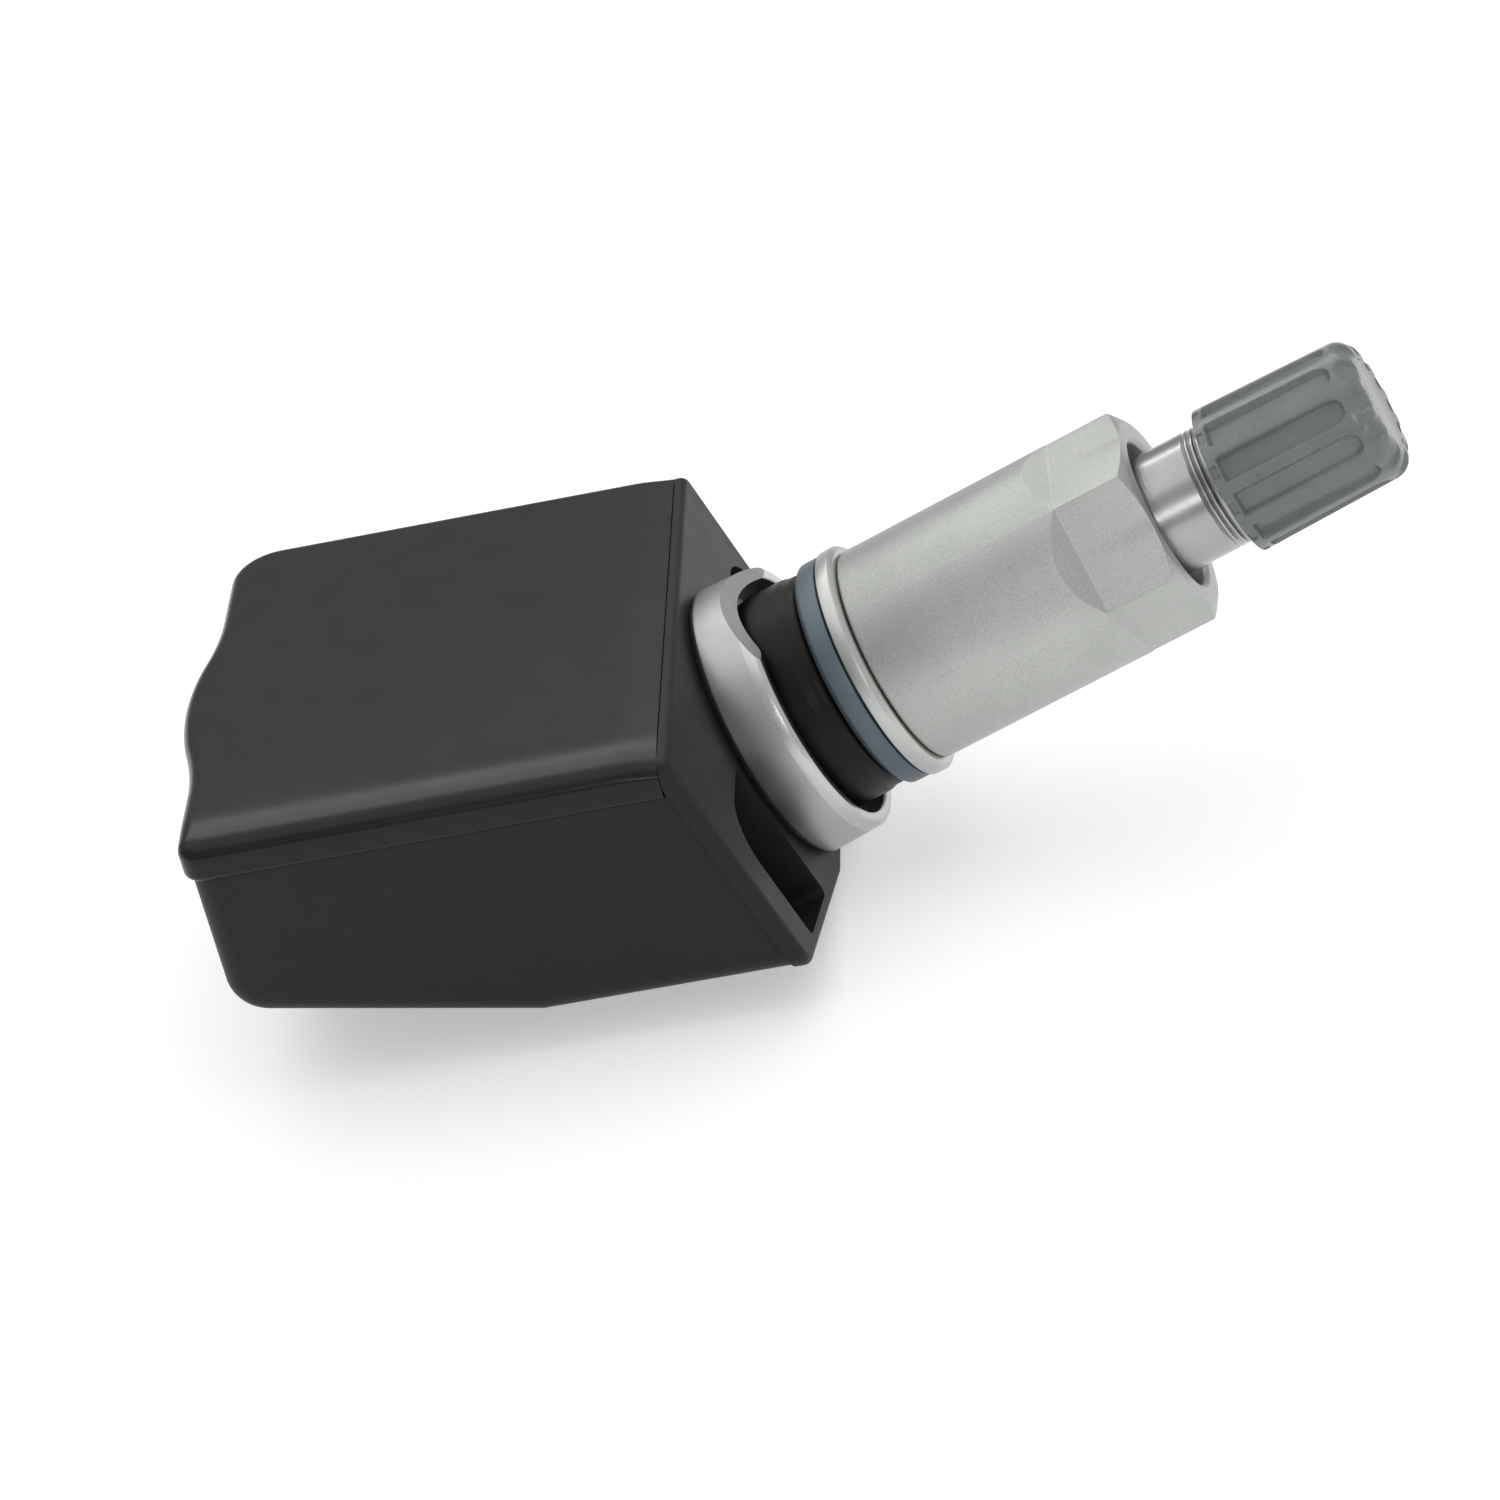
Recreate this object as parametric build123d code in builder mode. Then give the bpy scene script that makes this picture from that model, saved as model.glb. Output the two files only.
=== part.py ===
from build123d import *
import math
import os

os.makedirs("parts", exist_ok=True)

# All sizes are in millimetres and degrees.
# The flat strip that the sensor rests on is Z = 0, the valve's middle plane is Y = 0,
# and X = 0 lies on the line where the lid's plane would meet the end face.

# Body
body_height = 18.85
body_length = 29.65
body_width = 35.6
body_middle_y = -1.2
wall = 1.6
bulge_height = 1.25
bulge_half_length = 10.5
bulge_y = -2.0
near_corner_radius = 1.4
far_corner_radius = 3.2
wall_swell = 0.5

# Lid
lid_thickness = 2.7
lid_top_radius = 1.5
lid_low_radius = 0.5
lid_overhang = 0.4
lid_step = 0.25
lid_recess_depth = 1.2
lid_lip_height = 0.9
lid_lip_width = 1.0
lid_lip_clearance = 0.1
seam_x = -0.75
seam_gap = 0.05

# Underside
strip_half_width = 3.0
flank_angle = 11.7
heel_x = -11.2
heel_angle = 11.7
heel_edge_radius = 2.6
near_edge_radius = 1.5
far_edge_radius = 2.2
end_edge_radius = 0.5

# End face and its two pockets
valve_tilt = 19.2
end_face_x = -0.15
valve_drop = 10.26
flange_thickness = 1.2
flange_corner_radius = 0.8
boss_half_width = 9.3
pocket_near_rim = 3.1
pocket_far_rim = 1.4
pocket_near_top_drop = 7.4
pocket_far_top_drop = 5.9
pocket_floor_lip = 1.1
pocket_depth = 3.5
pocket_corner_radius = 3.0
pocket_small_radius = 0.5
pocket_draft = 4.0

# Cavity
cavity_floor_z = 5.2
cavity_heel_floor_z = 7.5
cavity_deep_x = -18.0
cavity_cell_room = 0.4
cavity_end_x = -3.2
cavity_corner_radius = 1.5

# Air way under the collar
air_slot_width = 2.2
air_slot_depth = 1.6
port_radius = 0.7

# Stem and its cup-shaped collar
collar_radius = 9.0
collar_length = 4.0
collar_rim_radius = 8.85
collar_inner_radius = 7.98
collar_floor_u = 1.5
collar_base_radius = 0.45
collar_rim_rounding = 0.3
notch_height = 6.6
notch_angle = 35.0
shank_radius = 5.55
screw_zone_radius = 4.72
screw_zone_end_u = 22.6
neck_radius = 3.85
neck_end_u = 31.05
neck_chamfer = 0.35
cap_thread_core_radius = 3.4
stem_end_u = 40.9
stem_tip_chamfer = 0.4
core_chamber_radius = 2.6
core_chamber_depth = 6.5
core_seat_radius = 2.05
core_seat_depth = 1.2
core_well_depth = 15.5
air_bore_radius = 1.3
stem_tap_radius = 2.0
stem_tap_depth = 5.0

# Grommet, rings and nut
grommet_radius = 7.25
grommet_front_u = 6.6
grommet_rounding = 0.35
spacer_radius = 7.46
spacer_thickness = 1.48
spacer_bevel = 0.3
washer_radius = 7.6
washer_thickness = 1.24
washer_chamfer = 0.3
ring_bore_clearance = 0.1
face_gap = 0.03
nut_radius = 7.0
nut_across_flats = 12.1
nut_length = 19.1
flats_length = 4.8
flats_run_out = 1.35
nut_end_chamfer_angle = 30.0
nut_end_face_radius = 6.06
nut_start_chamfer = 0.15
running_clearance = 0.05
flat_turn = 5.5

# Cap
cap_mouth_gap = 4.13
cap_length = 10.2
cap_mouth_radius = 4.68
cap_end_radius = 4.45
cap_mouth_band = 0.65
cap_rib_count = 12
cap_flute_width = 1.3
cap_flute_depth = 0.36
cap_flute_rounding = 0.3
cap_flute_stop = 1.3
cap_flute_turn = 23.9
cap_end_rounding = 1.2
cap_thread_clearance = 0.08
cap_roof = 1.0
cap_seal_thickness = 0.5
cap_seal_inner_radius = 1.2

# Valve core
core_tip_recess = 0.3
core_body_length = 4.2
core_fit = 0.05
rubber_fit = 0.02
pin_radius = 0.45
pin_clearance = 0.08
pin_tip_recess = 0.1
pin_collar_radius = 0.95
pin_collar_length = 0.5
barrel_radius = 1.75
barrel_wall = 0.45
barrel_length = 7.6
barrel_foot = 0.6
core_seal_length = 1.6
spring_wire_radius = 0.14
spring_wire_sides = 6
spring_radius = 0.9
spring_turns = 5
plug_radius = 1.5
plug_length = 1.1
pin_tail = 0.35

# Retaining screw
screw_head_radius = 3.3
screw_head_height = 2.2
screw_shank_radius = 1.95
screw_hole_clearance = 0.2
screw_face_u = -4.2
screw_spot_clearance = 0.6
screw_socket_radius = 1.5
screw_socket_depth = 1.3
screw_reach = 4.0
screw_bore_radius = 0.9
screw_bore_back_u = -1.7
screw_cross_radius = 0.6

# Electronics
cell_radius = 10.0
cell_x = -15.6
cell_inset = 2.8
cell_rounding = 0.5
cell_cap_radius = 8.4
cell_cap_height = 0.3
tab_thickness = 0.2
tab_width = 4.0
tab_length = 14.0
tab_reach = 0.3
tab_spread = 5.0
board_thickness = 1.0
board_gap = 1.2
board_clearance = 0.3
peg_radius = 0.75
peg_post_radius = 1.5
peg_inset = 2.1
peg_height = 0.6
peg_fit = 0.1
chip_size = 6.0
chip_height = 1.0
chip_x = -10.4
chip_inset = 0.8
chip_port_radius = 0.5
chip_port_depth = 0.4
port_seal_radius = 1.7
port_seal_bore = 1.0
port_seal_foot = 2.0
port_seal_foot_height = 0.8
radio_chip_size = 5.0
radio_chip_height = 0.9
radio_chip_x = -8.4
radio_chip_inset = 5.5
crystal_length = 4.8
crystal_width = 2.0
crystal_height = 1.1
crystal_x = -8.4
crystal_gap = 1.0
coil_core_length = 9.0
coil_core_size = 2.0
coil_flange_size = 3.4
coil_turn_size = 3.0
coil_winding_length = 6.4
coil_fit = 0.05
coil_x = -14.0
coil_inset = 1.7
coil_head_room = 1.15
antenna_width = 1.2
antenna_thickness = 0.4
antenna_rise = 2.6
antenna_inset = 1.9
antenna_foot = 1.0
antenna_foot_x = -9.0
antenna_foot_inset = 9.0

# Room that cutting shapes get beyond the surface they cut
cut_margin = 1.6

# Places worked out from the sizes above
tilt = math.radians(valve_tilt)
axis_x = math.cos(tilt)
axis_z = math.sin(tilt)
near_y = body_middle_y - body_width / 2
far_y = body_middle_y + body_width / 2
joint_z = body_height - lid_thickness
frame_top_z = body_height - lid_step
wall_near_y = near_y + lid_overhang
wall_far_y = far_y - lid_overhang
seat_x = end_face_x + valve_drop * axis_z
seat_z = body_height - valve_drop * axis_x
valve_line = Axis((seat_x, 0, seat_z), (axis_x, 0, axis_z))
# On the meridian plane, local x runs along the valve and local y is the radius.
meridian = Plane(origin=(seat_x, 0, seat_z), x_dir=(axis_x, 0, axis_z), z_dir=(0, -1, 0))
# On the end face, local x runs across the body and local y runs up the face.
end_face = Plane(origin=(seat_x, 0, seat_z), x_dir=(0, 1, 0), z_dir=(axis_x, 0, axis_z))
cutter = 4 * body_width


def underside_z(y):
    """Height of the sloped underside at a place across the body."""
    beyond = abs(y - body_middle_y) - strip_half_width
    return max(0.0, beyond) * math.tan(math.radians(flank_angle))


def face_drop(y):
    """Distance down the end face, from the valve's axis, to the underside at y."""
    return (body_height - underside_z(y)) / axis_x - valve_drop


# Outline of the lid: a rectangle whose closed end swells in the middle
left_x = -body_length
swell_y = (bulge_y - bulge_half_length, bulge_y - bulge_half_length / 2, bulge_y)
swell_back_y = (bulge_y + bulge_half_length / 2, bulge_y + bulge_half_length)
half_swell_x = left_x - bulge_height / 2
with BuildSketch() as lid_outline:
    with BuildLine():
        Line((seam_x, far_y), (left_x, far_y))
        Line((left_x, far_y), (left_x, swell_back_y[1]))
        TangentArc((left_x, swell_back_y[1]), (half_swell_x, swell_back_y[0]), tangent=(0, -1))
        ThreePointArc(
            (half_swell_x, swell_back_y[0]),
            (left_x - bulge_height, swell_y[2]),
            (half_swell_x, swell_y[1]),
        )
        TangentArc((left_x, swell_y[0]), (half_swell_x, swell_y[1]), tangent=(0, 1))
        Line((left_x, swell_y[0]), (left_x, near_y))
        Line((left_x, near_y), (seam_x, near_y))
        Line((seam_x, near_y), (seam_x, far_y))
    make_face()
    closed_end = lid_outline.vertices().filter_by(lambda v: v.X < left_x + wall)
    fillet(closed_end.sort_by(Axis.Y)[0], near_corner_radius)
    closed_end = lid_outline.vertices().filter_by(lambda v: v.X < left_x + wall)
    fillet(closed_end.sort_by(Axis.Y)[-1], far_corner_radius)

# The walls stay a little inside the lid, with one shallow arc at the closed end
wall_left_x = left_x + lid_overhang
with BuildSketch() as wall_outline:
    with BuildLine():
        Polyline(
            (wall_left_x, wall_near_y),
            (body_length, wall_near_y),
            (body_length, wall_far_y),
            (wall_left_x, wall_far_y),
        )
        ThreePointArc(
            (wall_left_x, wall_far_y),
            (wall_left_x - wall_swell, body_middle_y),
            (wall_left_x, wall_near_y),
        )
    make_face()

# Cavity for the cell and the board
cavity_left_x = wall_left_x + wall
cavity_near_y = wall_near_y + wall
cavity_far_y = wall_far_y - wall
cavity_middle_x = (cavity_left_x + cavity_end_x) / 2
cavity_length = cavity_end_x - cavity_left_x
cavity_width = cavity_far_y - cavity_near_y
# the board hangs below the lid, and the cell takes the height that is left under it
board_top_z = joint_z + lid_recess_depth - coil_head_room - coil_flange_size
board_z = board_top_z - board_thickness
cell_z = cavity_floor_z + tab_thickness
cell_height = board_z - board_gap - tab_thickness - cell_z
cell_y = cavity_near_y + cell_inset + cell_radius
chip_y = cavity_far_y - chip_inset - chip_size / 2
radio_chip_y = cavity_near_y + radio_chip_inset + radio_chip_size / 2
crystal_y = radio_chip_y + radio_chip_size / 2 + crystal_gap + crystal_length / 2
coil_y = cavity_far_y - coil_inset - coil_flange_size / 2
antenna_foot_y = cavity_far_y - antenna_foot_inset
peg_x = (cavity_left_x + peg_inset, cavity_end_x - peg_inset)
peg_y = (cavity_near_y + peg_inset, cavity_far_y - peg_inset)
peg_places = [(x, y) for x in peg_x for y in peg_y]

with BuildPart() as housing:
    with BuildSketch(Plane.XY):
        add(wall_outline.sketch)
    extrude(amount=frame_top_z)
    # the underside: a flat strip with a slope to each side, lifting towards the heel
    with BuildSketch(Plane.YZ.offset(heel_x)) as below:
        with BuildLine():
            Polyline(
                (near_y - cut_margin, -body_height),
                (near_y - cut_margin, underside_z(near_y - cut_margin)),
                (body_middle_y - strip_half_width, 0),
                (body_middle_y + strip_half_width, 0),
                (far_y + cut_margin, underside_z(far_y + cut_margin)),
                (far_y + cut_margin, -body_height),
                close=True,
            )
        make_face()
    extrude(amount=cutter, mode=Mode.SUBTRACT)
    heel_slope = math.tan(math.radians(heel_angle))
    extrude(below.sketch, amount=cutter, dir=(-1, 0, heel_slope), mode=Mode.SUBTRACT)
    # the end face, square to the valve
    with BuildSketch(end_face):
        Rectangle(cutter, cutter)
    extrude(amount=cutter, mode=Mode.SUBTRACT)
    # rounded edges: under the closed end, then up and down each side, then the end face
    heel_edges = housing.edges().filter_by(
        lambda e: e.center().X < wall_left_x + wall
        and e.center().Z < body_height / 2
        and abs(e.tangent_at(0.5).Y) > 0.5
    )
    fillet(heel_edges, heel_edge_radius)
    for side_y, radius in ((wall_near_y, near_edge_radius), (wall_far_y, far_edge_radius)):
        side_edges = housing.edges().filter_by(
            lambda e: abs(e.center().Y - side_y) < 0.01
            and e.center().Z < joint_z - seam_gap
            and e.center().X < seat_x
        )
        fillet(side_edges, radius)
    # the flange round the end face, as wide as the lid
    flange_top = (frame_top_z - seat_z) / axis_x
    strip_near_y = body_middle_y - strip_half_width
    strip_far_y = body_middle_y + strip_half_width
    with BuildSketch(end_face) as flange:
        with BuildLine():
            Polyline(
                (near_y, flange_top),
                (near_y, -face_drop(near_y)),
                (strip_near_y, -face_drop(strip_near_y)),
                (strip_far_y, -face_drop(strip_far_y)),
                (far_y, -face_drop(far_y)),
                (far_y, flange_top),
                close=True,
            )
        make_face()
        fillet(flange.vertices().sort_by(Axis.Y)[-2:], flange_corner_radius)
        low_corners = flange.vertices().filter_by(lambda v: v.Y < 0)
        fillet(low_corners.sort_by(Axis.X)[0], near_edge_radius)
        low_corners = flange.vertices().filter_by(lambda v: v.Y < 0)
        fillet(low_corners.sort_by(Axis.X)[-1], far_edge_radius)
    extrude(flange.sketch, amount=flange_thickness, dir=(-1, 0, 0))
    end_edges = housing.faces().sort_by(valve_line)[-1].outer_wire().edges()
    fillet(end_edges, end_edge_radius)
    # room for the lid
    with BuildSketch(Plane.XY.offset(joint_z)):
        with Locations((seam_x + seam_gap, body_middle_y)):
            Rectangle(cutter, cutter, align=(Align.MAX, Align.CENTER))
    extrude(amount=lid_thickness, mode=Mode.SUBTRACT)
    # the two pockets beside the boss that carries the valve
    near_pocket = (-boss_half_width, near_y + pocket_near_rim, pocket_near_top_drop)
    far_pocket = (boss_half_width, far_y - pocket_far_rim, pocket_far_top_drop)
    for inner, outer, top_drop in (near_pocket, far_pocket):
        top = valve_drop - top_drop
        middle = abs(inner + outer) / 2
        with BuildSketch(end_face) as pocket:
            with BuildLine():
                Polyline(
                    (inner, top),
                    (inner, pocket_floor_lip - face_drop(inner)),
                    (outer, pocket_floor_lip - face_drop(outer)),
                    (outer, top),
                    close=True,
                )
            make_face()
            sharp = pocket.vertices().filter_by(lambda v: v.Y < 0 or abs(v.X) < middle)
            fillet(sharp, pocket_small_radius)
            round_one = pocket.vertices().filter_by(lambda v: v.Y > 0 and abs(v.X) > middle)
            fillet(round_one, pocket_corner_radius)
        extrude(amount=-pocket_depth, taper=pocket_draft, mode=Mode.SUBTRACT)
    # the cavity, whose floor is higher over the heel, and a round bed for the cell
    with BuildSketch(Plane.XY.offset(joint_z)):
        with Locations((cavity_middle_x, body_middle_y)):
            RectangleRounded(cavity_length, cavity_width, cavity_corner_radius)
    extrude(amount=cavity_heel_floor_z - joint_z, mode=Mode.SUBTRACT)
    with BuildSketch(Plane.XY.offset(cavity_heel_floor_z)):
        with Locations((cavity_deep_x, body_middle_y)):
            Rectangle(
                cavity_end_x - cavity_deep_x,
                cavity_width,
                align=(Align.MIN, Align.CENTER),
            )
        with Locations((cell_x, cell_y)):
            Circle(cell_radius + cavity_cell_room)
    extrude(amount=cavity_floor_z - cavity_heel_floor_z, mode=Mode.SUBTRACT)
    # posts with pegs that locate the board
    for post_x, post_floor_z in zip(peg_x, (cavity_heel_floor_z, cavity_floor_z)):
        with BuildSketch(Plane.XY.offset(post_floor_z)):
            with Locations(*[(post_x, y) for y in peg_y]):
                Circle(peg_post_radius)
        extrude(amount=board_z - post_floor_z)
    with BuildSketch(Plane.XY.offset(board_z)):
        with Locations(*peg_places):
            Circle(peg_radius)
    extrude(amount=board_thickness + peg_height)
    # the retaining screw's hole and its seat inside the cavity
    with BuildSketch(end_face):
        Circle(screw_shank_radius + screw_hole_clearance)
    extrude(amount=screw_face_u, mode=Mode.SUBTRACT)
    with BuildSketch(end_face.offset(screw_face_u)):
        Circle(screw_head_radius + screw_spot_clearance)
    extrude(amount=-screw_head_height - cut_margin, mode=Mode.SUBTRACT)
    # the air slot under the collar, from the screw to the far pocket
    with BuildSketch(end_face):
        Rectangle(
            boss_half_width + pocket_small_radius,
            air_slot_width,
            align=(Align.MIN, Align.CENTER),
        )
    extrude(amount=-air_slot_depth, mode=Mode.SUBTRACT)
    # the pressure port, straight down through the floor
    with BuildSketch(Plane.XY.offset(cavity_floor_z)):
        with Locations((chip_x, chip_y)):
            Circle(port_radius)
    extrude(amount=-cavity_floor_z, mode=Mode.SUBTRACT)
housing.part.label = "housing"
export_step(housing.part, "parts/housing.step")

# Lid: a slab with a rounded edge, hollowed below, with a lip that locates in the cavity
with BuildPart() as lid:
    with BuildSketch(Plane.XY.offset(joint_z)):
        add(lid_outline.sketch)
    extrude(amount=lid_thickness)
    lid_sides = lid.edges().filter_by(lambda e: e.center().X < seam_x - lid_top_radius)
    fillet(lid_sides.group_by(Axis.Z)[-1], lid_top_radius)
    lid_sides = lid.edges().filter_by(lambda e: e.center().X < seam_x - lid_top_radius)
    fillet(lid_sides.group_by(Axis.Z)[0], lid_low_radius)
    with BuildSketch(Plane.XY.offset(joint_z)):
        with Locations((cavity_middle_x, body_middle_y)):
            RectangleRounded(
                cavity_length - 2 * lid_lip_clearance,
                cavity_width - 2 * lid_lip_clearance,
                cavity_corner_radius,
            )
    extrude(amount=-lid_lip_height)
    lip_inset = 2 * (lid_lip_clearance + lid_lip_width)
    with BuildSketch(Plane.XY.offset(joint_z - lid_lip_height)):
        with Locations((cavity_middle_x, body_middle_y)):
            RectangleRounded(
                cavity_length - lip_inset,
                cavity_width - lip_inset,
                cavity_corner_radius / 2,
            )
    extrude(amount=lid_lip_height + lid_recess_depth, mode=Mode.SUBTRACT)
lid.part.label = "lid"
export_step(lid.part, "parts/lid.step")

# Stem: a cup-shaped collar, a shank through the rim, a screw zone for the nut and a neck
chamber_floor_u = stem_end_u - core_chamber_depth
seat_end_u = chamber_floor_u - core_seat_depth
well_floor_u = stem_end_u - core_well_depth
with BuildPart() as valve_stem:
    with BuildSketch(meridian):
        with BuildLine():
            Polyline(
                (0, collar_radius),
                (collar_length, collar_rim_radius),
                (collar_length, collar_inner_radius),
                (collar_floor_u, collar_inner_radius),
                (collar_floor_u, shank_radius),
                (grommet_front_u, shank_radius),
                (grommet_front_u, screw_zone_radius),
                (screw_zone_end_u, screw_zone_radius),
                (screw_zone_end_u + screw_zone_radius - neck_radius, neck_radius),
                (neck_end_u, neck_radius),
                (neck_end_u + neck_chamfer, cap_thread_core_radius),
                (stem_end_u - stem_tip_chamfer, cap_thread_core_radius),
                (stem_end_u, cap_thread_core_radius - stem_tip_chamfer),
                (stem_end_u, core_chamber_radius),
                (chamber_floor_u, core_chamber_radius),
                (seat_end_u, core_seat_radius),
                (well_floor_u, core_seat_radius),
                (well_floor_u - core_seat_radius + air_bore_radius, air_bore_radius),
                (stem_tap_depth, air_bore_radius),
                (stem_tap_depth, stem_tap_radius),
                (0, stem_tap_radius),
                close=True,
            )
        make_face()
    revolve(axis=valve_line)
    rim_circles = valve_stem.edges().filter_by(GeomType.CIRCLE).filter_by(
        lambda e: e.radius > collar_inner_radius - collar_rim_rounding
    )
    chamfer(rim_circles.sort_by(valve_line)[0], collar_base_radius)
    outer_rim = rim_circles.filter_by(lambda e: abs(e.radius - collar_rim_radius) < 0.01)
    fillet(outer_rim, collar_rim_rounding)
    # the flat bevel that opens the top of the cup's rim
    notch_turn = math.radians(notch_angle)
    with BuildSketch(meridian):
        with BuildLine():
            Polyline(
                (collar_length, notch_height),
                (collar_length - collar_radius * math.tan(notch_turn), notch_height + collar_radius),
                (collar_length, notch_height + collar_radius),
                close=True,
            )
        make_face()
    extrude(amount=collar_radius, both=True, mode=Mode.SUBTRACT)
valve_stem.part.label = "valve_stem"
export_step(valve_stem.part, "parts/valve_stem.step")

# Rubber grommet that seals the stem in the rim's hole
with BuildPart() as grommet:
    with BuildSketch(meridian) as section:
        with Locations((collar_floor_u, shank_radius + rubber_fit)):
            Rectangle(
                grommet_front_u - collar_floor_u,
                grommet_radius - shank_radius - rubber_fit,
                align=Align.MIN,
            )
        chamfer(section.vertices().group_by(Axis.Y)[-1].sort_by(Axis.X)[-1], grommet_rounding)
    revolve(axis=valve_line)
grommet.part.label = "grommet"
export_step(grommet.part, "parts/grommet.step")

# Spacer ring, bevelled towards the body
ring_bore_radius = screw_zone_radius + ring_bore_clearance
spacer_u = grommet_front_u + face_gap
with BuildPart() as spacer_ring:
    with BuildSketch(meridian) as section:
        with Locations((spacer_u, ring_bore_radius)):
            Rectangle(spacer_thickness, spacer_radius - ring_bore_radius, align=Align.MIN)
        chamfer(section.vertices().group_by(Axis.Y)[-1].sort_by(Axis.X)[0], spacer_bevel)
    revolve(axis=valve_line)
spacer_ring.part.label = "spacer_ring"
export_step(spacer_ring.part, "parts/spacer_ring.step")

washer_u = spacer_u + spacer_thickness + face_gap
with BuildPart() as washer:
    with BuildSketch(meridian) as section:
        with Locations((washer_u, ring_bore_radius)):
            Rectangle(washer_thickness, washer_radius - ring_bore_radius, align=Align.MIN)
        chamfer(section.vertices().group_by(Axis.Y)[-1], washer_chamfer)
    revolve(axis=valve_line)
washer.part.label = "washer"
export_step(washer.part, "parts/washer.step")

# Sleeve nut with six flats at its outer end
nut_u = washer_u + washer_thickness + face_gap
nut_end_u = nut_u + nut_length
nut_bore_radius = screw_zone_radius + running_clearance
nut_end_chamfer = (nut_radius - nut_end_face_radius) * math.tan(math.radians(nut_end_chamfer_angle))
flats_u = nut_end_u - flats_length
with BuildPart() as sleeve_nut:
    with BuildSketch(meridian):
        with BuildLine():
            Polyline(
                (nut_u, nut_bore_radius),
                (nut_u, nut_radius - nut_start_chamfer),
                (nut_u + nut_start_chamfer, nut_radius),
                (nut_end_u - nut_end_chamfer, nut_radius),
                (nut_end_u, nut_end_face_radius),
                (nut_end_u, nut_bore_radius),
                close=True,
            )
        make_face()
    revolve(axis=valve_line)
    for turn in range(6):
        with BuildSketch(meridian.rotated((60 * turn + flat_turn, 0, 0))):
            with BuildLine():
                Polyline(
                    (flats_u, nut_across_flats / 2),
                    (flats_u - flats_run_out, nut_radius),
                    (flats_u - flats_run_out, nut_radius + cut_margin),
                    (nut_end_u, nut_radius + cut_margin),
                    (nut_end_u, nut_across_flats / 2),
                    close=True,
                )
            make_face()
        extrude(amount=nut_radius, both=True, mode=Mode.SUBTRACT)
sleeve_nut.part.label = "sleeve_nut"
export_step(sleeve_nut.part, "parts/sleeve_nut.step")

# Cap: ribbed, with a plain band at its mouth and a closed, rounded end
cap_u = nut_end_u + cap_mouth_gap
cap_end_u = cap_u + cap_length
cap_ceiling_u = cap_end_u - cap_roof
cap_bore_radius = neck_radius + cap_thread_clearance
with BuildPart() as cap:
    with BuildSketch(meridian) as section:
        with BuildLine():
            Polyline(
                (cap_u, cap_bore_radius),
                (cap_u, cap_mouth_radius),
                (cap_end_u, cap_end_radius),
                (cap_end_u, 0),
                (cap_ceiling_u, 0),
                (cap_ceiling_u, cap_bore_radius),
                close=True,
            )
        make_face()
        fillet(section.vertices().sort_by(Axis.X)[-2:].sort_by(Axis.Y)[-1], cap_end_rounding)
    revolve(axis=valve_line)
    # flat flutes between the ribs, which stop short of the closed end
    flute_floor = cap_end_radius - cap_flute_depth
    flute_room = cap_mouth_radius - flute_floor + cap_flute_rounding
    with BuildSketch(end_face.offset(cap_u + cap_mouth_band)):
        with PolarLocations(flute_floor + flute_room / 2, cap_rib_count, start_angle=cap_flute_turn):
            RectangleRounded(flute_room, cap_flute_width, cap_flute_rounding)
    extrude(amount=cap_length - cap_mouth_band - cap_flute_stop, mode=Mode.SUBTRACT)
cap.part.label = "cap"
export_step(cap.part, "parts/cap.step")

with BuildPart() as cap_seal:
    with BuildSketch(end_face.offset(cap_ceiling_u)):
        Circle(cap_bore_radius - rubber_fit)
        Circle(cap_seal_inner_radius, mode=Mode.SUBTRACT)
    extrude(amount=-cap_seal_thickness)
cap_seal.part.label = "cap_seal"
export_step(cap_seal.part, "parts/cap_seal.step")

# Valve core: a screwed body, a barrel with its seal, and the sprung pin with its plug
core_top_u = stem_end_u - core_tip_recess
core_bottom_u = core_top_u - core_body_length
barrel_foot_u = core_bottom_u - barrel_length
foot_top_u = barrel_foot_u + barrel_foot
pin_tip_u = stem_end_u - pin_tip_recess
pin_bore_radius = pin_radius + pin_clearance
barrel_bore_radius = barrel_radius - barrel_wall
plug_u = barrel_foot_u - face_gap
pin_collar_u = core_bottom_u - face_gap - pin_collar_length
with BuildPart() as core_body:
    with BuildSketch(end_face.offset(core_bottom_u)):
        Circle(core_chamber_radius - core_fit)
        Circle(pin_bore_radius, mode=Mode.SUBTRACT)
    extrude(amount=core_body_length)
    # two flats at the top for the key
    with BuildSketch(end_face.offset(core_top_u)):
        Circle(core_chamber_radius)
        Rectangle(2 * core_chamber_radius, 2 * barrel_bore_radius, mode=Mode.SUBTRACT)
    extrude(amount=-core_body_length / 3, mode=Mode.SUBTRACT)
core_body.part.label = "core_body"
export_step(core_body.part, "parts/core_body.step")

with BuildPart() as core_barrel:
    with BuildSketch(meridian):
        with BuildLine():
            Polyline(
                (barrel_foot_u, pin_bore_radius),
                (barrel_foot_u, barrel_radius),
                (core_bottom_u, barrel_radius),
                (core_bottom_u, barrel_bore_radius),
                (foot_top_u, barrel_bore_radius),
                (foot_top_u, pin_bore_radius),
                close=True,
            )
        make_face()
    revolve(axis=valve_line)
core_barrel.part.label = "core_barrel"
export_step(core_barrel.part, "parts/core_barrel.step")

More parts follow.
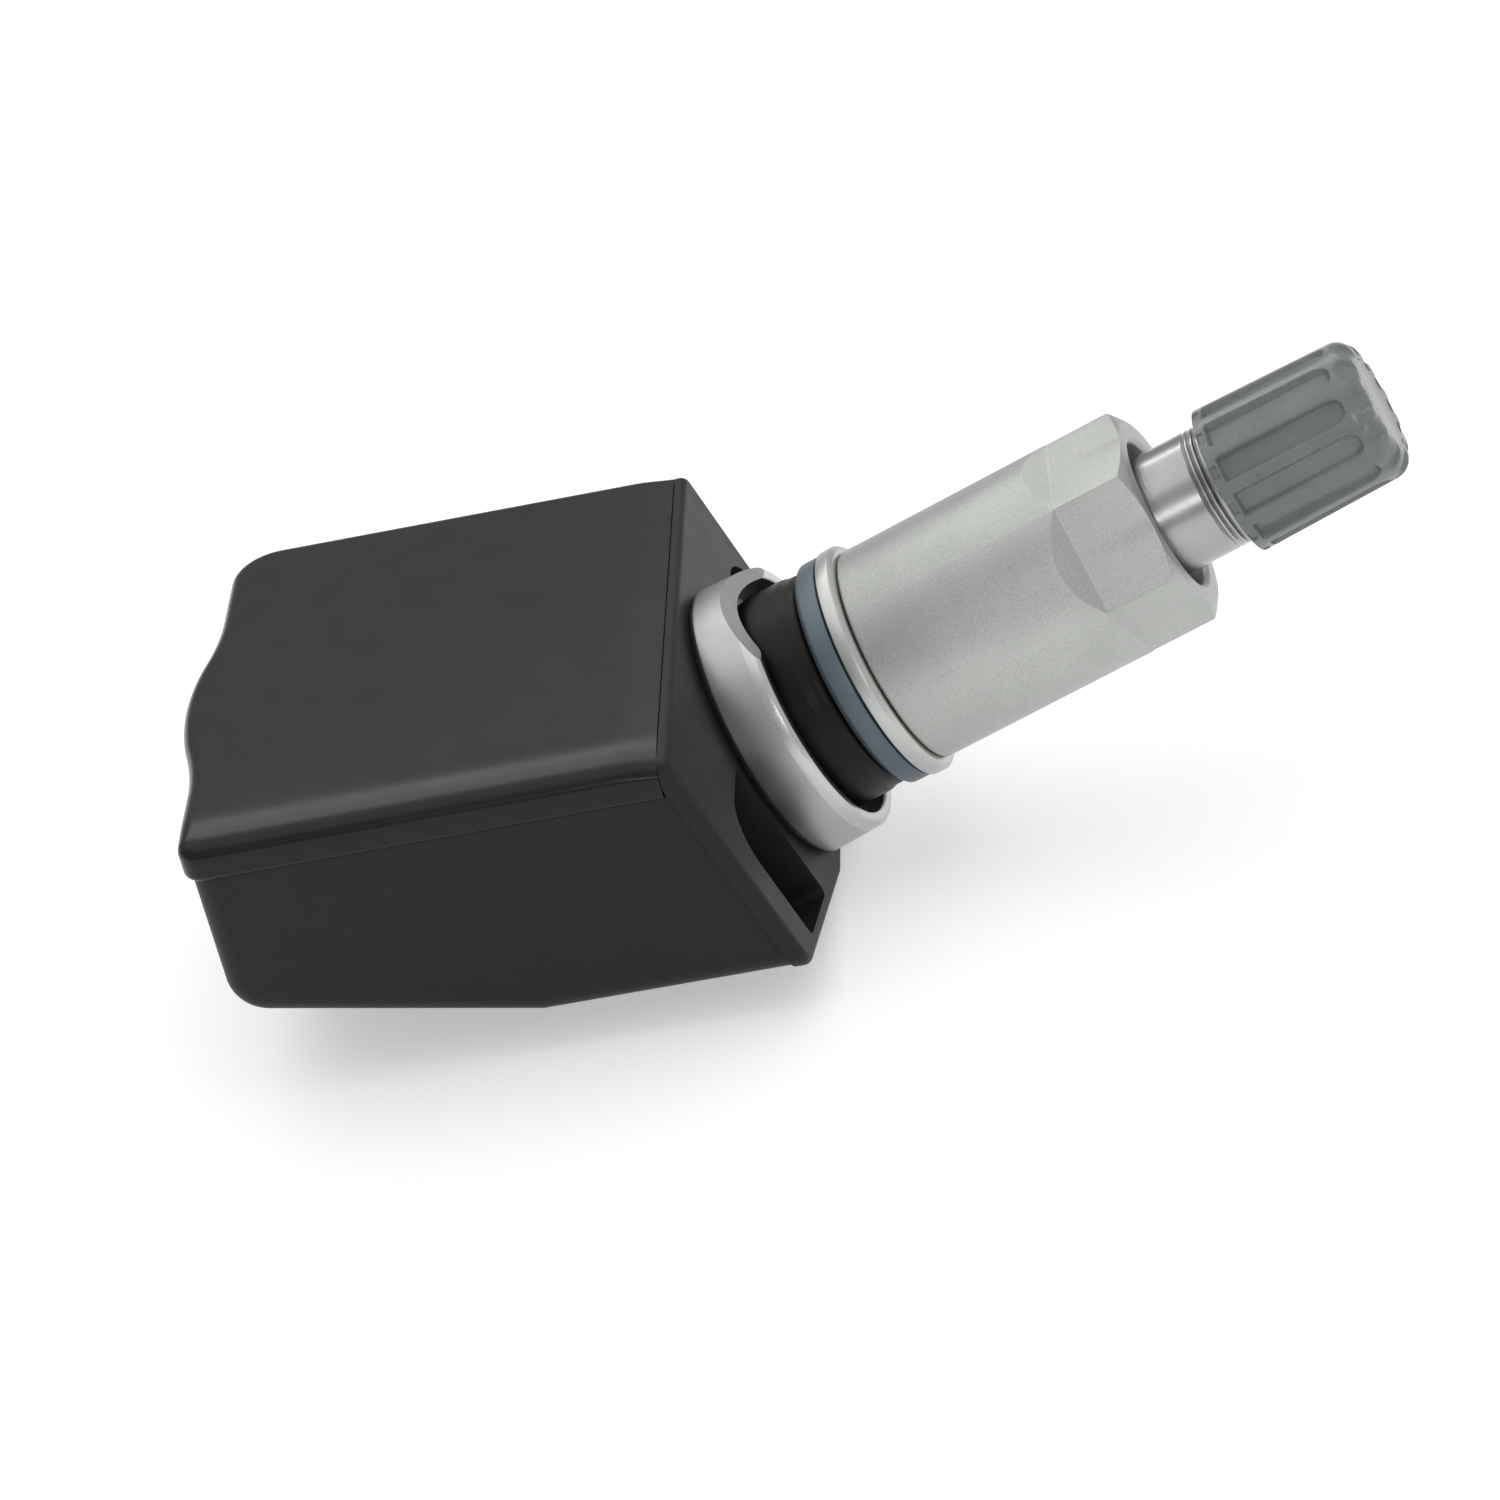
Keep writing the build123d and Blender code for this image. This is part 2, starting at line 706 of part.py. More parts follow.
with BuildPart() as core_barrel_seal:
    with BuildSketch(meridian):
        with BuildLine():
            Polyline(
                (seat_end_u, barrel_radius + rubber_fit),
                (seat_end_u, core_seat_radius - rubber_fit),
                (chamber_floor_u, core_chamber_radius - core_fit),
                (seat_end_u + core_seal_length, core_chamber_radius - core_fit),
                (seat_end_u + core_seal_length, barrel_radius + rubber_fit),
                close=True,
            )
        make_face()
    revolve(axis=valve_line)
core_barrel_seal.part.label = "core_barrel_seal"
export_step(core_barrel_seal.part, "parts/core_barrel_seal.step")

with BuildPart() as core_pin:
    with BuildSketch(end_face.offset(plug_u - plug_length - pin_tail)):
        Circle(pin_radius)
    extrude(amount=pin_tip_u - plug_u + plug_length + pin_tail)
    with BuildSketch(end_face.offset(pin_collar_u)):
        Circle(pin_collar_radius)
    extrude(amount=pin_collar_length)
core_pin.part.label = "core_pin"
export_step(core_pin.part, "parts/core_pin.step")

with BuildPart() as core_plug:
    with BuildSketch(end_face.offset(plug_u)):
        Circle(plug_radius)
        Circle(pin_radius + rubber_fit, mode=Mode.SUBTRACT)
    extrude(amount=-plug_length)
core_plug.part.label = "core_plug"
export_step(core_plug.part, "parts/core_plug.step")

spring_low_u = foot_top_u + spring_wire_radius + face_gap
spring_high_u = pin_collar_u - spring_wire_radius - face_gap
spring_length = spring_high_u - spring_low_u
with BuildPart() as core_spring:
    with BuildLine() as coil_line:
        Helix(
            pitch=spring_length / spring_turns,
            height=spring_length,
            radius=spring_radius,
            center=(seat_x + spring_low_u * axis_x, 0, seat_z + spring_low_u * axis_z),
            direction=(axis_x, 0, axis_z),
        )
    with BuildSketch(Plane(origin=coil_line.line @ 0, z_dir=coil_line.line % 0)):
        RegularPolygon(spring_wire_radius, spring_wire_sides)
    sweep(is_frenet=True)
core_spring.part.label = "core_spring"
export_step(core_spring.part, "parts/core_spring.step")

# Hollow retaining screw: air passes from the slot through its cross hole into the stem
with BuildPart() as stem_screw:
    with BuildSketch(end_face.offset(screw_face_u)):
        Circle(screw_head_radius)
    extrude(amount=-screw_head_height)
    with BuildSketch(end_face.offset(screw_face_u)):
        Circle(screw_shank_radius)
    extrude(amount=screw_reach - screw_face_u)
    with BuildSketch(end_face.offset(screw_face_u - screw_head_height)):
        RegularPolygon(screw_socket_radius, 6)
    extrude(amount=screw_socket_depth, mode=Mode.SUBTRACT)
    with BuildSketch(end_face.offset(screw_bore_back_u)):
        Circle(screw_bore_radius)
    extrude(amount=screw_reach - screw_bore_back_u, mode=Mode.SUBTRACT)
    with BuildSketch(meridian):
        with Locations((-air_slot_depth / 2, 0)):
            Circle(screw_cross_radius)
    extrude(amount=screw_head_radius, both=True, mode=Mode.SUBTRACT)
stem_screw.part.label = "stem_screw"
export_step(stem_screw.part, "parts/stem_screw.step")

# Cell between two contact tabs
with BuildPart() as battery_cell:
    with BuildSketch(Plane.XY.offset(cell_z)):
        with Locations((cell_x, cell_y)):
            Circle(cell_radius)
    extrude(amount=cell_height - cell_cap_height)
    chamfer(battery_cell.edges(), cell_rounding)
    with BuildSketch(Plane.XY.offset(cell_z + cell_height)):
        with Locations((cell_x, cell_y)):
            Circle(cell_cap_radius)
    extrude(amount=-2 * cell_cap_height)
battery_cell.part.label = "battery_cell"
export_step(battery_cell.part, "parts/battery_cell.step")

riser_y = cell_y + cell_radius + tab_reach
with BuildPart() as battery_tab_bottom:
    with BuildSketch(Plane.XY.offset(cavity_floor_z)):
        with Locations((cell_x, riser_y)):
            Rectangle(tab_width, tab_length, align=(Align.CENTER, Align.MAX))
    extrude(amount=tab_thickness)
    with BuildSketch(Plane.XY.offset(cavity_floor_z)):
        with Locations((cell_x, riser_y)):
            Rectangle(tab_width, tab_thickness, align=(Align.CENTER, Align.MAX))
    extrude(amount=board_z - cavity_floor_z)
battery_tab_bottom.part.label = "battery_tab_bottom"
export_step(battery_tab_bottom.part, "parts/battery_tab_bottom.step")

with BuildPart() as battery_tab_top:
    with BuildSketch(Plane.XY.offset(cell_z + cell_height)):
        with Locations((cell_x + tab_spread, cell_y)):
            Rectangle(tab_width, tab_length)
    extrude(amount=tab_thickness)
    with BuildSketch(Plane.XY.offset(cell_z + cell_height)):
        with Locations((cell_x + tab_spread, cell_y + tab_length / 2)):
            Rectangle(tab_width, tab_thickness, align=(Align.CENTER, Align.MAX))
    extrude(amount=tab_thickness + board_gap)
battery_tab_top.part.label = "battery_tab_top"
export_step(battery_tab_top.part, "parts/battery_tab_top.step")

# Circuit board and what it carries
with BuildPart() as circuit_board:
    with BuildSketch(Plane.XY.offset(board_z)):
        with Locations((cavity_middle_x, body_middle_y)):
            RectangleRounded(
                cavity_length - 2 * board_clearance,
                cavity_width - 2 * board_clearance,
                cavity_corner_radius,
            )
        with Locations(*peg_places):
            Circle(peg_radius + peg_fit, mode=Mode.SUBTRACT)
    extrude(amount=board_thickness)
circuit_board.part.label = "circuit_board"
export_step(circuit_board.part, "parts/circuit_board.step")

with BuildPart() as pressure_chip:
    with BuildSketch(Plane.XY.offset(board_z)):
        with Locations((chip_x, chip_y)):
            Rectangle(chip_size, chip_size)
    extrude(amount=-chip_height)
    with BuildSketch(Plane.XY.offset(board_z - chip_height)):
        with Locations((chip_x, chip_y)):
            Circle(chip_port_radius)
    extrude(amount=chip_port_depth, mode=Mode.SUBTRACT)
pressure_chip.part.label = "pressure_chip"
export_step(pressure_chip.part, "parts/pressure_chip.step")

with BuildPart() as port_seal:
    with BuildSketch(Plane.XY.offset(cavity_floor_z)):
        with Locations((chip_x, chip_y)):
            Circle(port_seal_foot)
    extrude(amount=port_seal_foot_height)
    with BuildSketch(Plane.XY.offset(cavity_floor_z)):
        with Locations((chip_x, chip_y)):
            Circle(port_seal_radius)
    extrude(amount=board_z - chip_height - cavity_floor_z)
    with BuildSketch(Plane.XY.offset(cavity_floor_z)):
        with Locations((chip_x, chip_y)):
            Circle(port_seal_bore)
    extrude(amount=board_z - chip_height - cavity_floor_z, mode=Mode.SUBTRACT)
port_seal.part.label = "port_seal"
export_step(port_seal.part, "parts/port_seal.step")

with BuildPart() as radio_chip:
    with BuildSketch(Plane.XY.offset(board_top_z)):
        with Locations((radio_chip_x, radio_chip_y)):
            Rectangle(radio_chip_size, radio_chip_size)
    extrude(amount=radio_chip_height)
radio_chip.part.label = "radio_chip"
export_step(radio_chip.part, "parts/radio_chip.step")

with BuildPart() as crystal:
    with BuildSketch(Plane.XY.offset(board_top_z)):
        with Locations((crystal_x, crystal_y)):
            RectangleRounded(crystal_width, crystal_length, crystal_width / 3)
    extrude(amount=crystal_height)
crystal.part.label = "crystal"
export_step(crystal.part, "parts/crystal.step")

coil_z = board_top_z + coil_flange_size / 2
with BuildPart() as coil_core:
    with BuildSketch(Plane.YZ.offset(coil_x)):
        with Locations((coil_y, coil_z)):
            Rectangle(coil_flange_size, coil_flange_size)
    extrude(amount=coil_core_length / 2, both=True)
    with BuildSketch(Plane.YZ.offset(coil_x)):
        with Locations((coil_y, coil_z)):
            Rectangle(coil_flange_size, coil_flange_size)
            Rectangle(coil_core_size, coil_core_size, mode=Mode.SUBTRACT)
    extrude(amount=coil_winding_length / 2 + coil_fit, both=True, mode=Mode.SUBTRACT)
coil_core.part.label = "coil_core"
export_step(coil_core.part, "parts/coil_core.step")

with BuildPart() as wake_coil:
    with BuildSketch(Plane.YZ.offset(coil_x)):
        with Locations((coil_y, coil_z)):
            Rectangle(coil_turn_size, coil_turn_size)
            Rectangle(
                coil_core_size + 2 * coil_fit,
                coil_core_size + 2 * coil_fit,
                mode=Mode.SUBTRACT,
            )
    extrude(amount=coil_winding_length / 2, both=True)
wake_coil.part.label = "wake_coil"
export_step(wake_coil.part, "parts/wake_coil.step")

# Antenna: a strip that runs round three sides above the board on two feet
antenna_z = board_top_z + antenna_rise
antenna_x = cavity_left_x + antenna_inset
antenna_y = cavity_near_y + antenna_inset
with BuildPart() as loop_antenna:
    with BuildSketch(Plane.XY.offset(antenna_z)):
        with BuildLine():
            Polyline((antenna_foot_x, antenna_y), (antenna_x, antenna_y), (antenna_x, antenna_foot_y))
            offset(amount=antenna_width / 2)
        make_face()
    extrude(amount=-antenna_thickness)
    with BuildSketch(Plane.XY.offset(board_top_z)):
        with Locations((antenna_foot_x, antenna_y), (antenna_x, antenna_foot_y)):
            Rectangle(antenna_foot, antenna_foot)
    extrude(amount=antenna_rise)
loop_antenna.part.label = "loop_antenna"
export_step(loop_antenna.part, "parts/loop_antenna.step")
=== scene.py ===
import bpy
import bmesh
import math
from mathutils import Matrix, Vector


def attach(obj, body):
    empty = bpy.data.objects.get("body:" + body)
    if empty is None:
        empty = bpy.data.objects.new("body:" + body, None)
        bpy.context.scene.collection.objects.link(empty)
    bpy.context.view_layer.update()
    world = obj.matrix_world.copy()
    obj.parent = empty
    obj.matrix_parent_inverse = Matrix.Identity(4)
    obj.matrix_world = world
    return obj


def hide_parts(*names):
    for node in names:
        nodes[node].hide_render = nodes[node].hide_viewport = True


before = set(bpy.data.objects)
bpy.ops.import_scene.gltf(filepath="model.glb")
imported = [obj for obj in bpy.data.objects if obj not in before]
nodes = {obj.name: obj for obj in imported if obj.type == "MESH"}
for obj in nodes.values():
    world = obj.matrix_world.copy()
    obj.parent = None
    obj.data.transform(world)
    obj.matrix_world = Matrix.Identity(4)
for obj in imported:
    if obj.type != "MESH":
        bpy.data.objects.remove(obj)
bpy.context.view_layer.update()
scene = bpy.context.scene
MM = 0.001

# Sizes in millimetres. The solids' sizes are as in the part's source, and the fine forms
# between them, such as chamfers, grooves and arches, are the scene's own.
BODY_HEIGHT = 18.85
BODY_LENGTH = 29.65
BODY_WIDTH = 35.6
BODY_MIDDLE_Y = -1.2
SEAM_X = -0.75
SWELL_HEIGHT = 1.25
SWELL_HALF_LENGTH = 10.5
SWELL_Y = -2.0
NEAR_CORNER_RADIUS = 1.4
FAR_CORNER_RADIUS = 3.2
LID_THICKNESS = 2.7
LID_TOP_RADIUS = 1.0
LID_LOW_RADIUS = 0.5
LID_ROLL = 0.42
LID_ROLL_WIDTH = 3.4
SEAM_ROLL = 0.2
SEAM_ROLL_WIDTH = 2.4
LID_RECESS = 1.2
LIP_HEIGHT = 0.9
LIP_WIDTH = 1.0
LIP_OUTER_LEFT = -27.55
LIP_OUTER_RIGHT = -3.3
LIP_OUTER_HALF_WIDTH = 15.7
LIP_CORNER_RADIUS = 1.5
VALVE_TILT = math.radians(19.2)
VALVE_DROP = 10.26
END_FACE_X = -0.15
COLLAR_RADIUS = 9.0
COLLAR_LENGTH = 4.0
COLLAR_ROOT_CHAMFER = 0.45
COLLAR_DRAFT = 0.02
COLLAR_RIM_RADIUS = 8.85
COLLAR_RIM_BAND = 0.85
COLLAR_RIM_BULGE = 0.03
COLLAR_RIM_CHAMFER = 0.22
COLLAR_MOUTH_CHAMFER = 0.12
COLLAR_INNER_RADIUS = 7.98
COLLAR_FLOOR = 1.5
NOTCH_HEIGHT = 6.6
NOTCH_TURN = math.radians(35)
NOTCH_OVERRUN = 0.4
SHANK_RADIUS = 5.55
SCREW_ZONE_RADIUS = 4.72
SCREW_ZONE_END = 22.6
NECK_RADIUS = 3.85
NECK_GROOVES = 3
NECK_GROOVE_PITCH = 0.36
NECK_GROOVE_HALF_WIDTH = 0.11
NECK_GROOVE_DEPTH = 0.13
NECK_GROOVES_TO_CAP = 1.15
STEM_EASE = 0.1
STEM_SEGMENTS = 384
THREAD_CORE_RADIUS = 3.4
STEM_END = 40.9
STEM_END_CHAMFER = 0.4
CHAMBER_RADIUS = 2.6
CHAMBER_DEPTH = 6.5
SEAT_RADIUS = 2.05
SEAT_DEPTH = 1.2
WELL_DEPTH = 15.5
AIR_BORE_RADIUS = 1.3
TAP_RADIUS = 2.0
TAP_DEPTH = 5.0
THREAD_PITCH = 0.794
THREAD_STEPS_A_TURN = 72
THREAD_RUN_OUT_STEPS = THREAD_STEPS_A_TURN / 3
THREAD_TO_MOUTH = 0.7
THREAD_TO_END = 0.5
THREAD_ROOT_HALF_WIDTH = 0.33
THREAD_CREST_HALF_WIDTH = 0.06
THREAD_CREST_FIT = 0.02
THREAD_ROOT_SINK = 0.03
THREAD_RUN_IN = 0.35
GROMMET_RADIUS = 7.25
GROMMET_FRONT = 6.6
GROMMET_FIT = 0.02
GROMMET_FOOT_CHAMFER = 0.2
GROMMET_TAPER_LENGTH = 1.6
GROMMET_TAPER = 0.02
GROMMET_GROOVE_DEPTH = 0.16
GROMMET_GROOVE_START = 1.3
GROMMET_GROOVE_SLOPE_END = 0.95
GROMMET_LIP_START = 0.35
GROMMET_LIP_CHAMFER = 0.5
GROMMET_EASE = 0.18
FACE_GAP = 0.03
SPACER_RADIUS = 7.46
SPACER_START = GROMMET_FRONT + FACE_GAP
SPACER_WIDTH = 1.48
SPACER_END = SPACER_START + SPACER_WIDTH
WASHER_RADIUS = 7.6
WASHER_START = SPACER_END + FACE_GAP
WASHER_WIDTH = 1.24
WASHER_END = WASHER_START + WASHER_WIDTH
RING_FIT = 0.1
RING_BORE_RADIUS = SCREW_ZONE_RADIUS + RING_FIT
RING_CHAMFER = 0.3
RING_CHAMFER_LENGTH = 0.18
SPACER_EASE = 0.07
WASHER_EASE = 0.05
NUT_START = WASHER_END + FACE_GAP
NUT_LENGTH = 19.1
NUT_END = NUT_START + NUT_LENGTH
NECK_FINISH_OVERLAP = 2
NECK_FINISH_START = NUT_END - NECK_FINISH_OVERLAP
NUT_RADIUS = 7.0
NUT_FIT = 0.05
NUT_BORE_RADIUS = SCREW_ZONE_RADIUS + NUT_FIT
NUT_FOOT_CHAMFER = 0.15
NUT_MOUTH_CHAMFER = 0.25
NUT_FLATS = 6
NUT_EASE = 0.09
NUT_CORNER_WIDTH = math.radians(1.1)
NUT_CORNER_DIP = 0.02
NUT_COLUMNS_A_FLAT = 44
NUT_END_FACE_RADIUS = 6.06
NUT_CHAMFER_TURN = math.radians(30)
NUT_CHAMFER_LENGTH = (NUT_RADIUS - NUT_END_FACE_RADIUS) * math.tan(NUT_CHAMFER_TURN)
ACROSS_FLATS = 12.1
FLAT_RADIUS = ACROSS_FLATS / 2
FLATS_LENGTH = 4.8
FLATS_START = NUT_END - FLATS_LENGTH
FLATS_RUN_OUT = 1.35
FLAT_TURN = math.radians(5.5)
NECK_IN_SIGHT = 4.13
CAP_START = NUT_END + NECK_IN_SIGHT
CAP_LENGTH = 10.2
CAP_MOUTH_RADIUS = 4.68
CAP_END_RADIUS = 4.45
CAP_FIT = 0.08
CAP_BORE_RADIUS = NECK_RADIUS + CAP_FIT
CAP_ROOF = 1.0
CAP_ROUNDING = 1.2
CAP_MOUTH_CHAMFER = 0.12
CAP_BORE_CHAMFER = 0.1
CAP_DIMPLE_RADIUS = 2.5
CAP_DIMPLE_RIM_RADIUS = 2.9
CAP_DIMPLE_DEPTH = 0.12
CAP_DIMPLE_EDGE_DEPTH = 0.1
CAP_DIMPLE_RIM_DEPTH = 0.02
CAP_CENTRE_RADIUS = 0.01
CAP_RIBS = 12
FLUTE_DEPTH = 0.36
FLUTE_TURN = math.radians(23.9)

# Flutes, arches and scallops of the cap: angles in degrees from a flute's middle
FLUTE_FLOOR_ANGLE = 7.4
FLUTE_RIB_ANGLE = 11.2
FLUTE_START = 0.62
FLUTE_START_END = 0.76
ARCH_START = CAP_LENGTH - 2.5
ARCH_LENGTH = 1.1
ARCH_ANGLE = 8
ARCH_WALL_START = CAP_LENGTH - 1.7
ARCH_WALL_END = CAP_LENGTH - 1.3
ARCH_WALL_SHARE = 0.85
SCALLOP_START = CAP_LENGTH - 1.25
SCALLOP_WIDE = CAP_LENGTH - 0.6
SCALLOP_FULL = CAP_LENGTH - 0.5
SCALLOP_SHARE = 1.1
POCKET_FLOOR_ANGLE = 4.4
POCKET_EDGE_ANGLE = 5.2
POCKET_START = 0.1
POCKET_END = 0.5
POCKET_SLOPE = 0.06
POCKET_DEPTH = 0.13

# The valve's own frame: local z runs along the valve, local x points up from it
VALVE_Z = Vector((math.cos(VALVE_TILT), 0, math.sin(VALVE_TILT)))
VALVE_X = Vector((-math.sin(VALVE_TILT), 0, math.cos(VALVE_TILT)))
VALVE_Y = Vector((0, -1, 0))
SEAT = Vector(
    (
        END_FACE_X + VALVE_DROP * math.sin(VALVE_TILT),
        0,
        BODY_HEIGHT - VALVE_DROP * math.cos(VALVE_TILT),
    )
)
valve_turn = Matrix((VALVE_X, VALVE_Y, VALVE_Z)).transposed().to_4x4()
valve_frame = Matrix.Translation(SEAT * MM) @ valve_turn

# Shares and scales of the procedural finishes, with scales in steps for each metre
FINE_SHARE = 0.35
TONE_START = 0.35
TONE_END = 0.65
TOOL_LINES = 14000.0
TOOL_WANDER = 1.6
TOOL_SHARE = 0.3
BLAST_SCALE = 9000.0
STAIN_SCALE = 260.0

# The map whose first direction runs round the valve, which the lathe's gloss follows
LATHE_MAP = "lathe"

# The largest share of an outline's edge that an eased corner takes
CORNER_REACH = 0.4


# Mesh helpers
def on_valve(u, radius, turn):
    """A point in the valve's frame, in metres, from millimetres along it and a turn about it."""
    return Vector((radius * math.cos(turn), radius * math.sin(turn), u)) * MM


def soften(piece, smooth_angle=30):
    """Smooth shading with sharp edges above an angle."""
    for face in piece.data.polygons:
        face.use_smooth = True
    piece.data.set_sharp_from_angle(angle=math.radians(smooth_angle))


def new_piece(name, bm, place=Matrix.Identity(4)):
    """An object from a mesh that is built at the origin and then put in its place."""
    mesh = bpy.data.meshes.new(name)
    bmesh.ops.remove_doubles(bm, verts=bm.verts, dist=1e-7)
    bmesh.ops.recalc_face_normals(bm, faces=bm.faces)
    bm.transform(place)
    bm.to_mesh(mesh)
    bm.free()
    piece = bpy.data.objects.new(name, mesh)
    scene.collection.objects.link(piece)
    soften(piece)
    return piece


def soft_corner(before, here, after, ease):
    """Three points that ease a corner of an outline."""
    here = Vector(here)
    back, on = Vector(before) - here, Vector(after) - here
    reach = min(ease, back.length * CORNER_REACH, on.length * CORNER_REACH)
    start = here + back.normalized() * reach
    end = here + on.normalized() * reach
    return [start, (start + end) / 4 + here / 2, end]


def eased(outline, ease):
    """A closed outline whose corners are all eased."""
    count = len(outline)
    made = []
    for i, here in enumerate(outline):
        made += soft_corner(outline[i - 1], here, outline[(i + 1) % count], ease)
    return made


def map_face(face, lathe, step, row, steps_a_turn, rows):
    """Write the lathe's map on a face that spans one step about the valve and one row."""
    spots = ((step, row), (step, row + 1), (step + 1, row + 1), (step + 1, row))
    for loop, (around, along) in zip(face.loops, spots):
        loop[lathe].uv = (around / steps_a_turn, along / rows)


def skin(name, columns, turns, marked=None):
    """Closed outlines of (u, radius) points, one for each turn, joined about the valve."""
    bm = bmesh.new()
    lathe = bm.loops.layers.uv.new(LATHE_MAP)
    rings = []
    for outline, turn in zip(columns, turns):
        rings.append([bm.verts.new(on_valve(u, radius, turn)) for u, radius in outline])
    for step, here in enumerate(rings):
        there = rings[(step + 1) % len(rings)]
        for i in range(len(here)):
            j = (i + 1) % len(here)
            face = bm.faces.new((here[i], here[j], there[j], there[i]))
            map_face(face, lathe, step, i, len(rings), len(here))
            if marked and marked(step, i):
                face.material_index = 1
    return new_piece(name, bm, valve_frame)


def turned(name, outline, ease, segments=320):
    """A closed outline of (u, radius) points turned about the valve."""
    outline = eased(outline, ease)
    turns = [2 * math.pi * step / segments for step in range(segments)]
    return skin(name, [outline] * segments, turns)


def apply_modifiers(piece):
    graph = bpy.context.evaluated_depsgraph_get()
    mesh = bpy.data.meshes.new_from_object(piece.evaluated_get(graph))
    old = piece.data
    piece.modifiers.clear()
    piece.data = mesh
    bpy.data.meshes.remove(old)
    mesh.name = piece.name


def smoothstep(value, start, end):
    share = min(1, max(0, (value - start) / (end - start)))
    return share * share * (3 - 2 * share)


# Materials
def node(tree, kind, inputs=None, **settings):
    """A shader node, with each input either linked or set to a value."""
    made = tree.nodes.new(kind)
    for key, value in settings.items():
        setattr(made, key, value)
    for key, value in (inputs or {}).items():
        if isinstance(value, bpy.types.NodeSocket):
            tree.links.new(value, made.inputs[key])
        else:
            made.inputs[key].default_value = value
    return made


def maths(tree, operation, *values):
    return node(tree, "ShaderNodeMath", dict(enumerate(values)), operation=operation).outputs[0]


def colour(red, green, blue):
    """Linear colour from an sRGB one written 0 to 255."""

    def linear(value):
        value = value / 255
        return value / 12.92 if value < 0.04045 else ((value + 0.055) / 1.055) ** 2.4

    return (linear(red), linear(green), linear(blue), 1)


def ramp(tree, value, *stops):
    """A colour ramp through (position, colour) stops."""
    made = node(tree, "ShaderNodeValToRGB", {"Fac": value})
    bar = made.color_ramp.elements
    while len(bar) < len(stops):
        bar.new(0.5)
    for element, (position, tone) in zip(bar, stops):
        element.position = position
        element.color = tone
    return made.outputs["Color"]


def noise(tree, place, scale, detail):
    inputs = {"Vector": place, "Scale": scale, "Detail": detail}
    return node(tree, "ShaderNodeTexNoise", inputs).outputs["Fac"]


def spread(tree, value, low, high, start=0.3, end=0.7):
    """The value's range from start to end, mapped to low and high."""
    inputs = {"Value": value, "From Min": start, "From Max": end, "To Min": low, "To Max": high}
    return node(tree, "ShaderNodeMapRange", inputs).outputs["Result"]


def new_material(name, metallic=0.0, **sockets):
    made = bpy.data.materials.new(name)
    made.use_nodes = True
    shader = made.node_tree.nodes["Principled BSDF"]
    shader.inputs["Metallic"].default_value = metallic
    for key, value in sockets.items():
        shader.inputs[key.replace("_", " ")].default_value = value
    return made, made.node_tree, shader


def moulded(name, low, high, rough, grain, grain_scale, drift_scale=400, **sockets):
    """Moulded plastic or rubber: a slow drift of colour and gloss, and a fine grain.

    The grain's depth is in millimetres.
    """
    made, tree, shader = new_material(name, **sockets)
    place = node(tree, "ShaderNodeTexCoord").outputs["Object"]
    drift = noise(tree, place, drift_scale, 5.0)
    fine = noise(tree, place, grain_scale, 2.0)
    mixed = maths(tree, "MULTIPLY_ADD", fine, FINE_SHARE, 0.0)
    mixed = maths(tree, "MULTIPLY_ADD", drift, 1 - FINE_SHARE, mixed)
    tone = ramp(tree, mixed, (TONE_START, low), (TONE_END, high))
    tree.links.new(tone, shader.inputs["Base Color"])
    tree.links.new(spread(tree, mixed, rough[0], rough[1]), shader.inputs["Roughness"])
    bump = node(tree, "ShaderNodeBump", {"Height": fine, "Distance": grain * MM})
    tree.links.new(bump.outputs["Normal"], shader.inputs["Normal"])
    return made


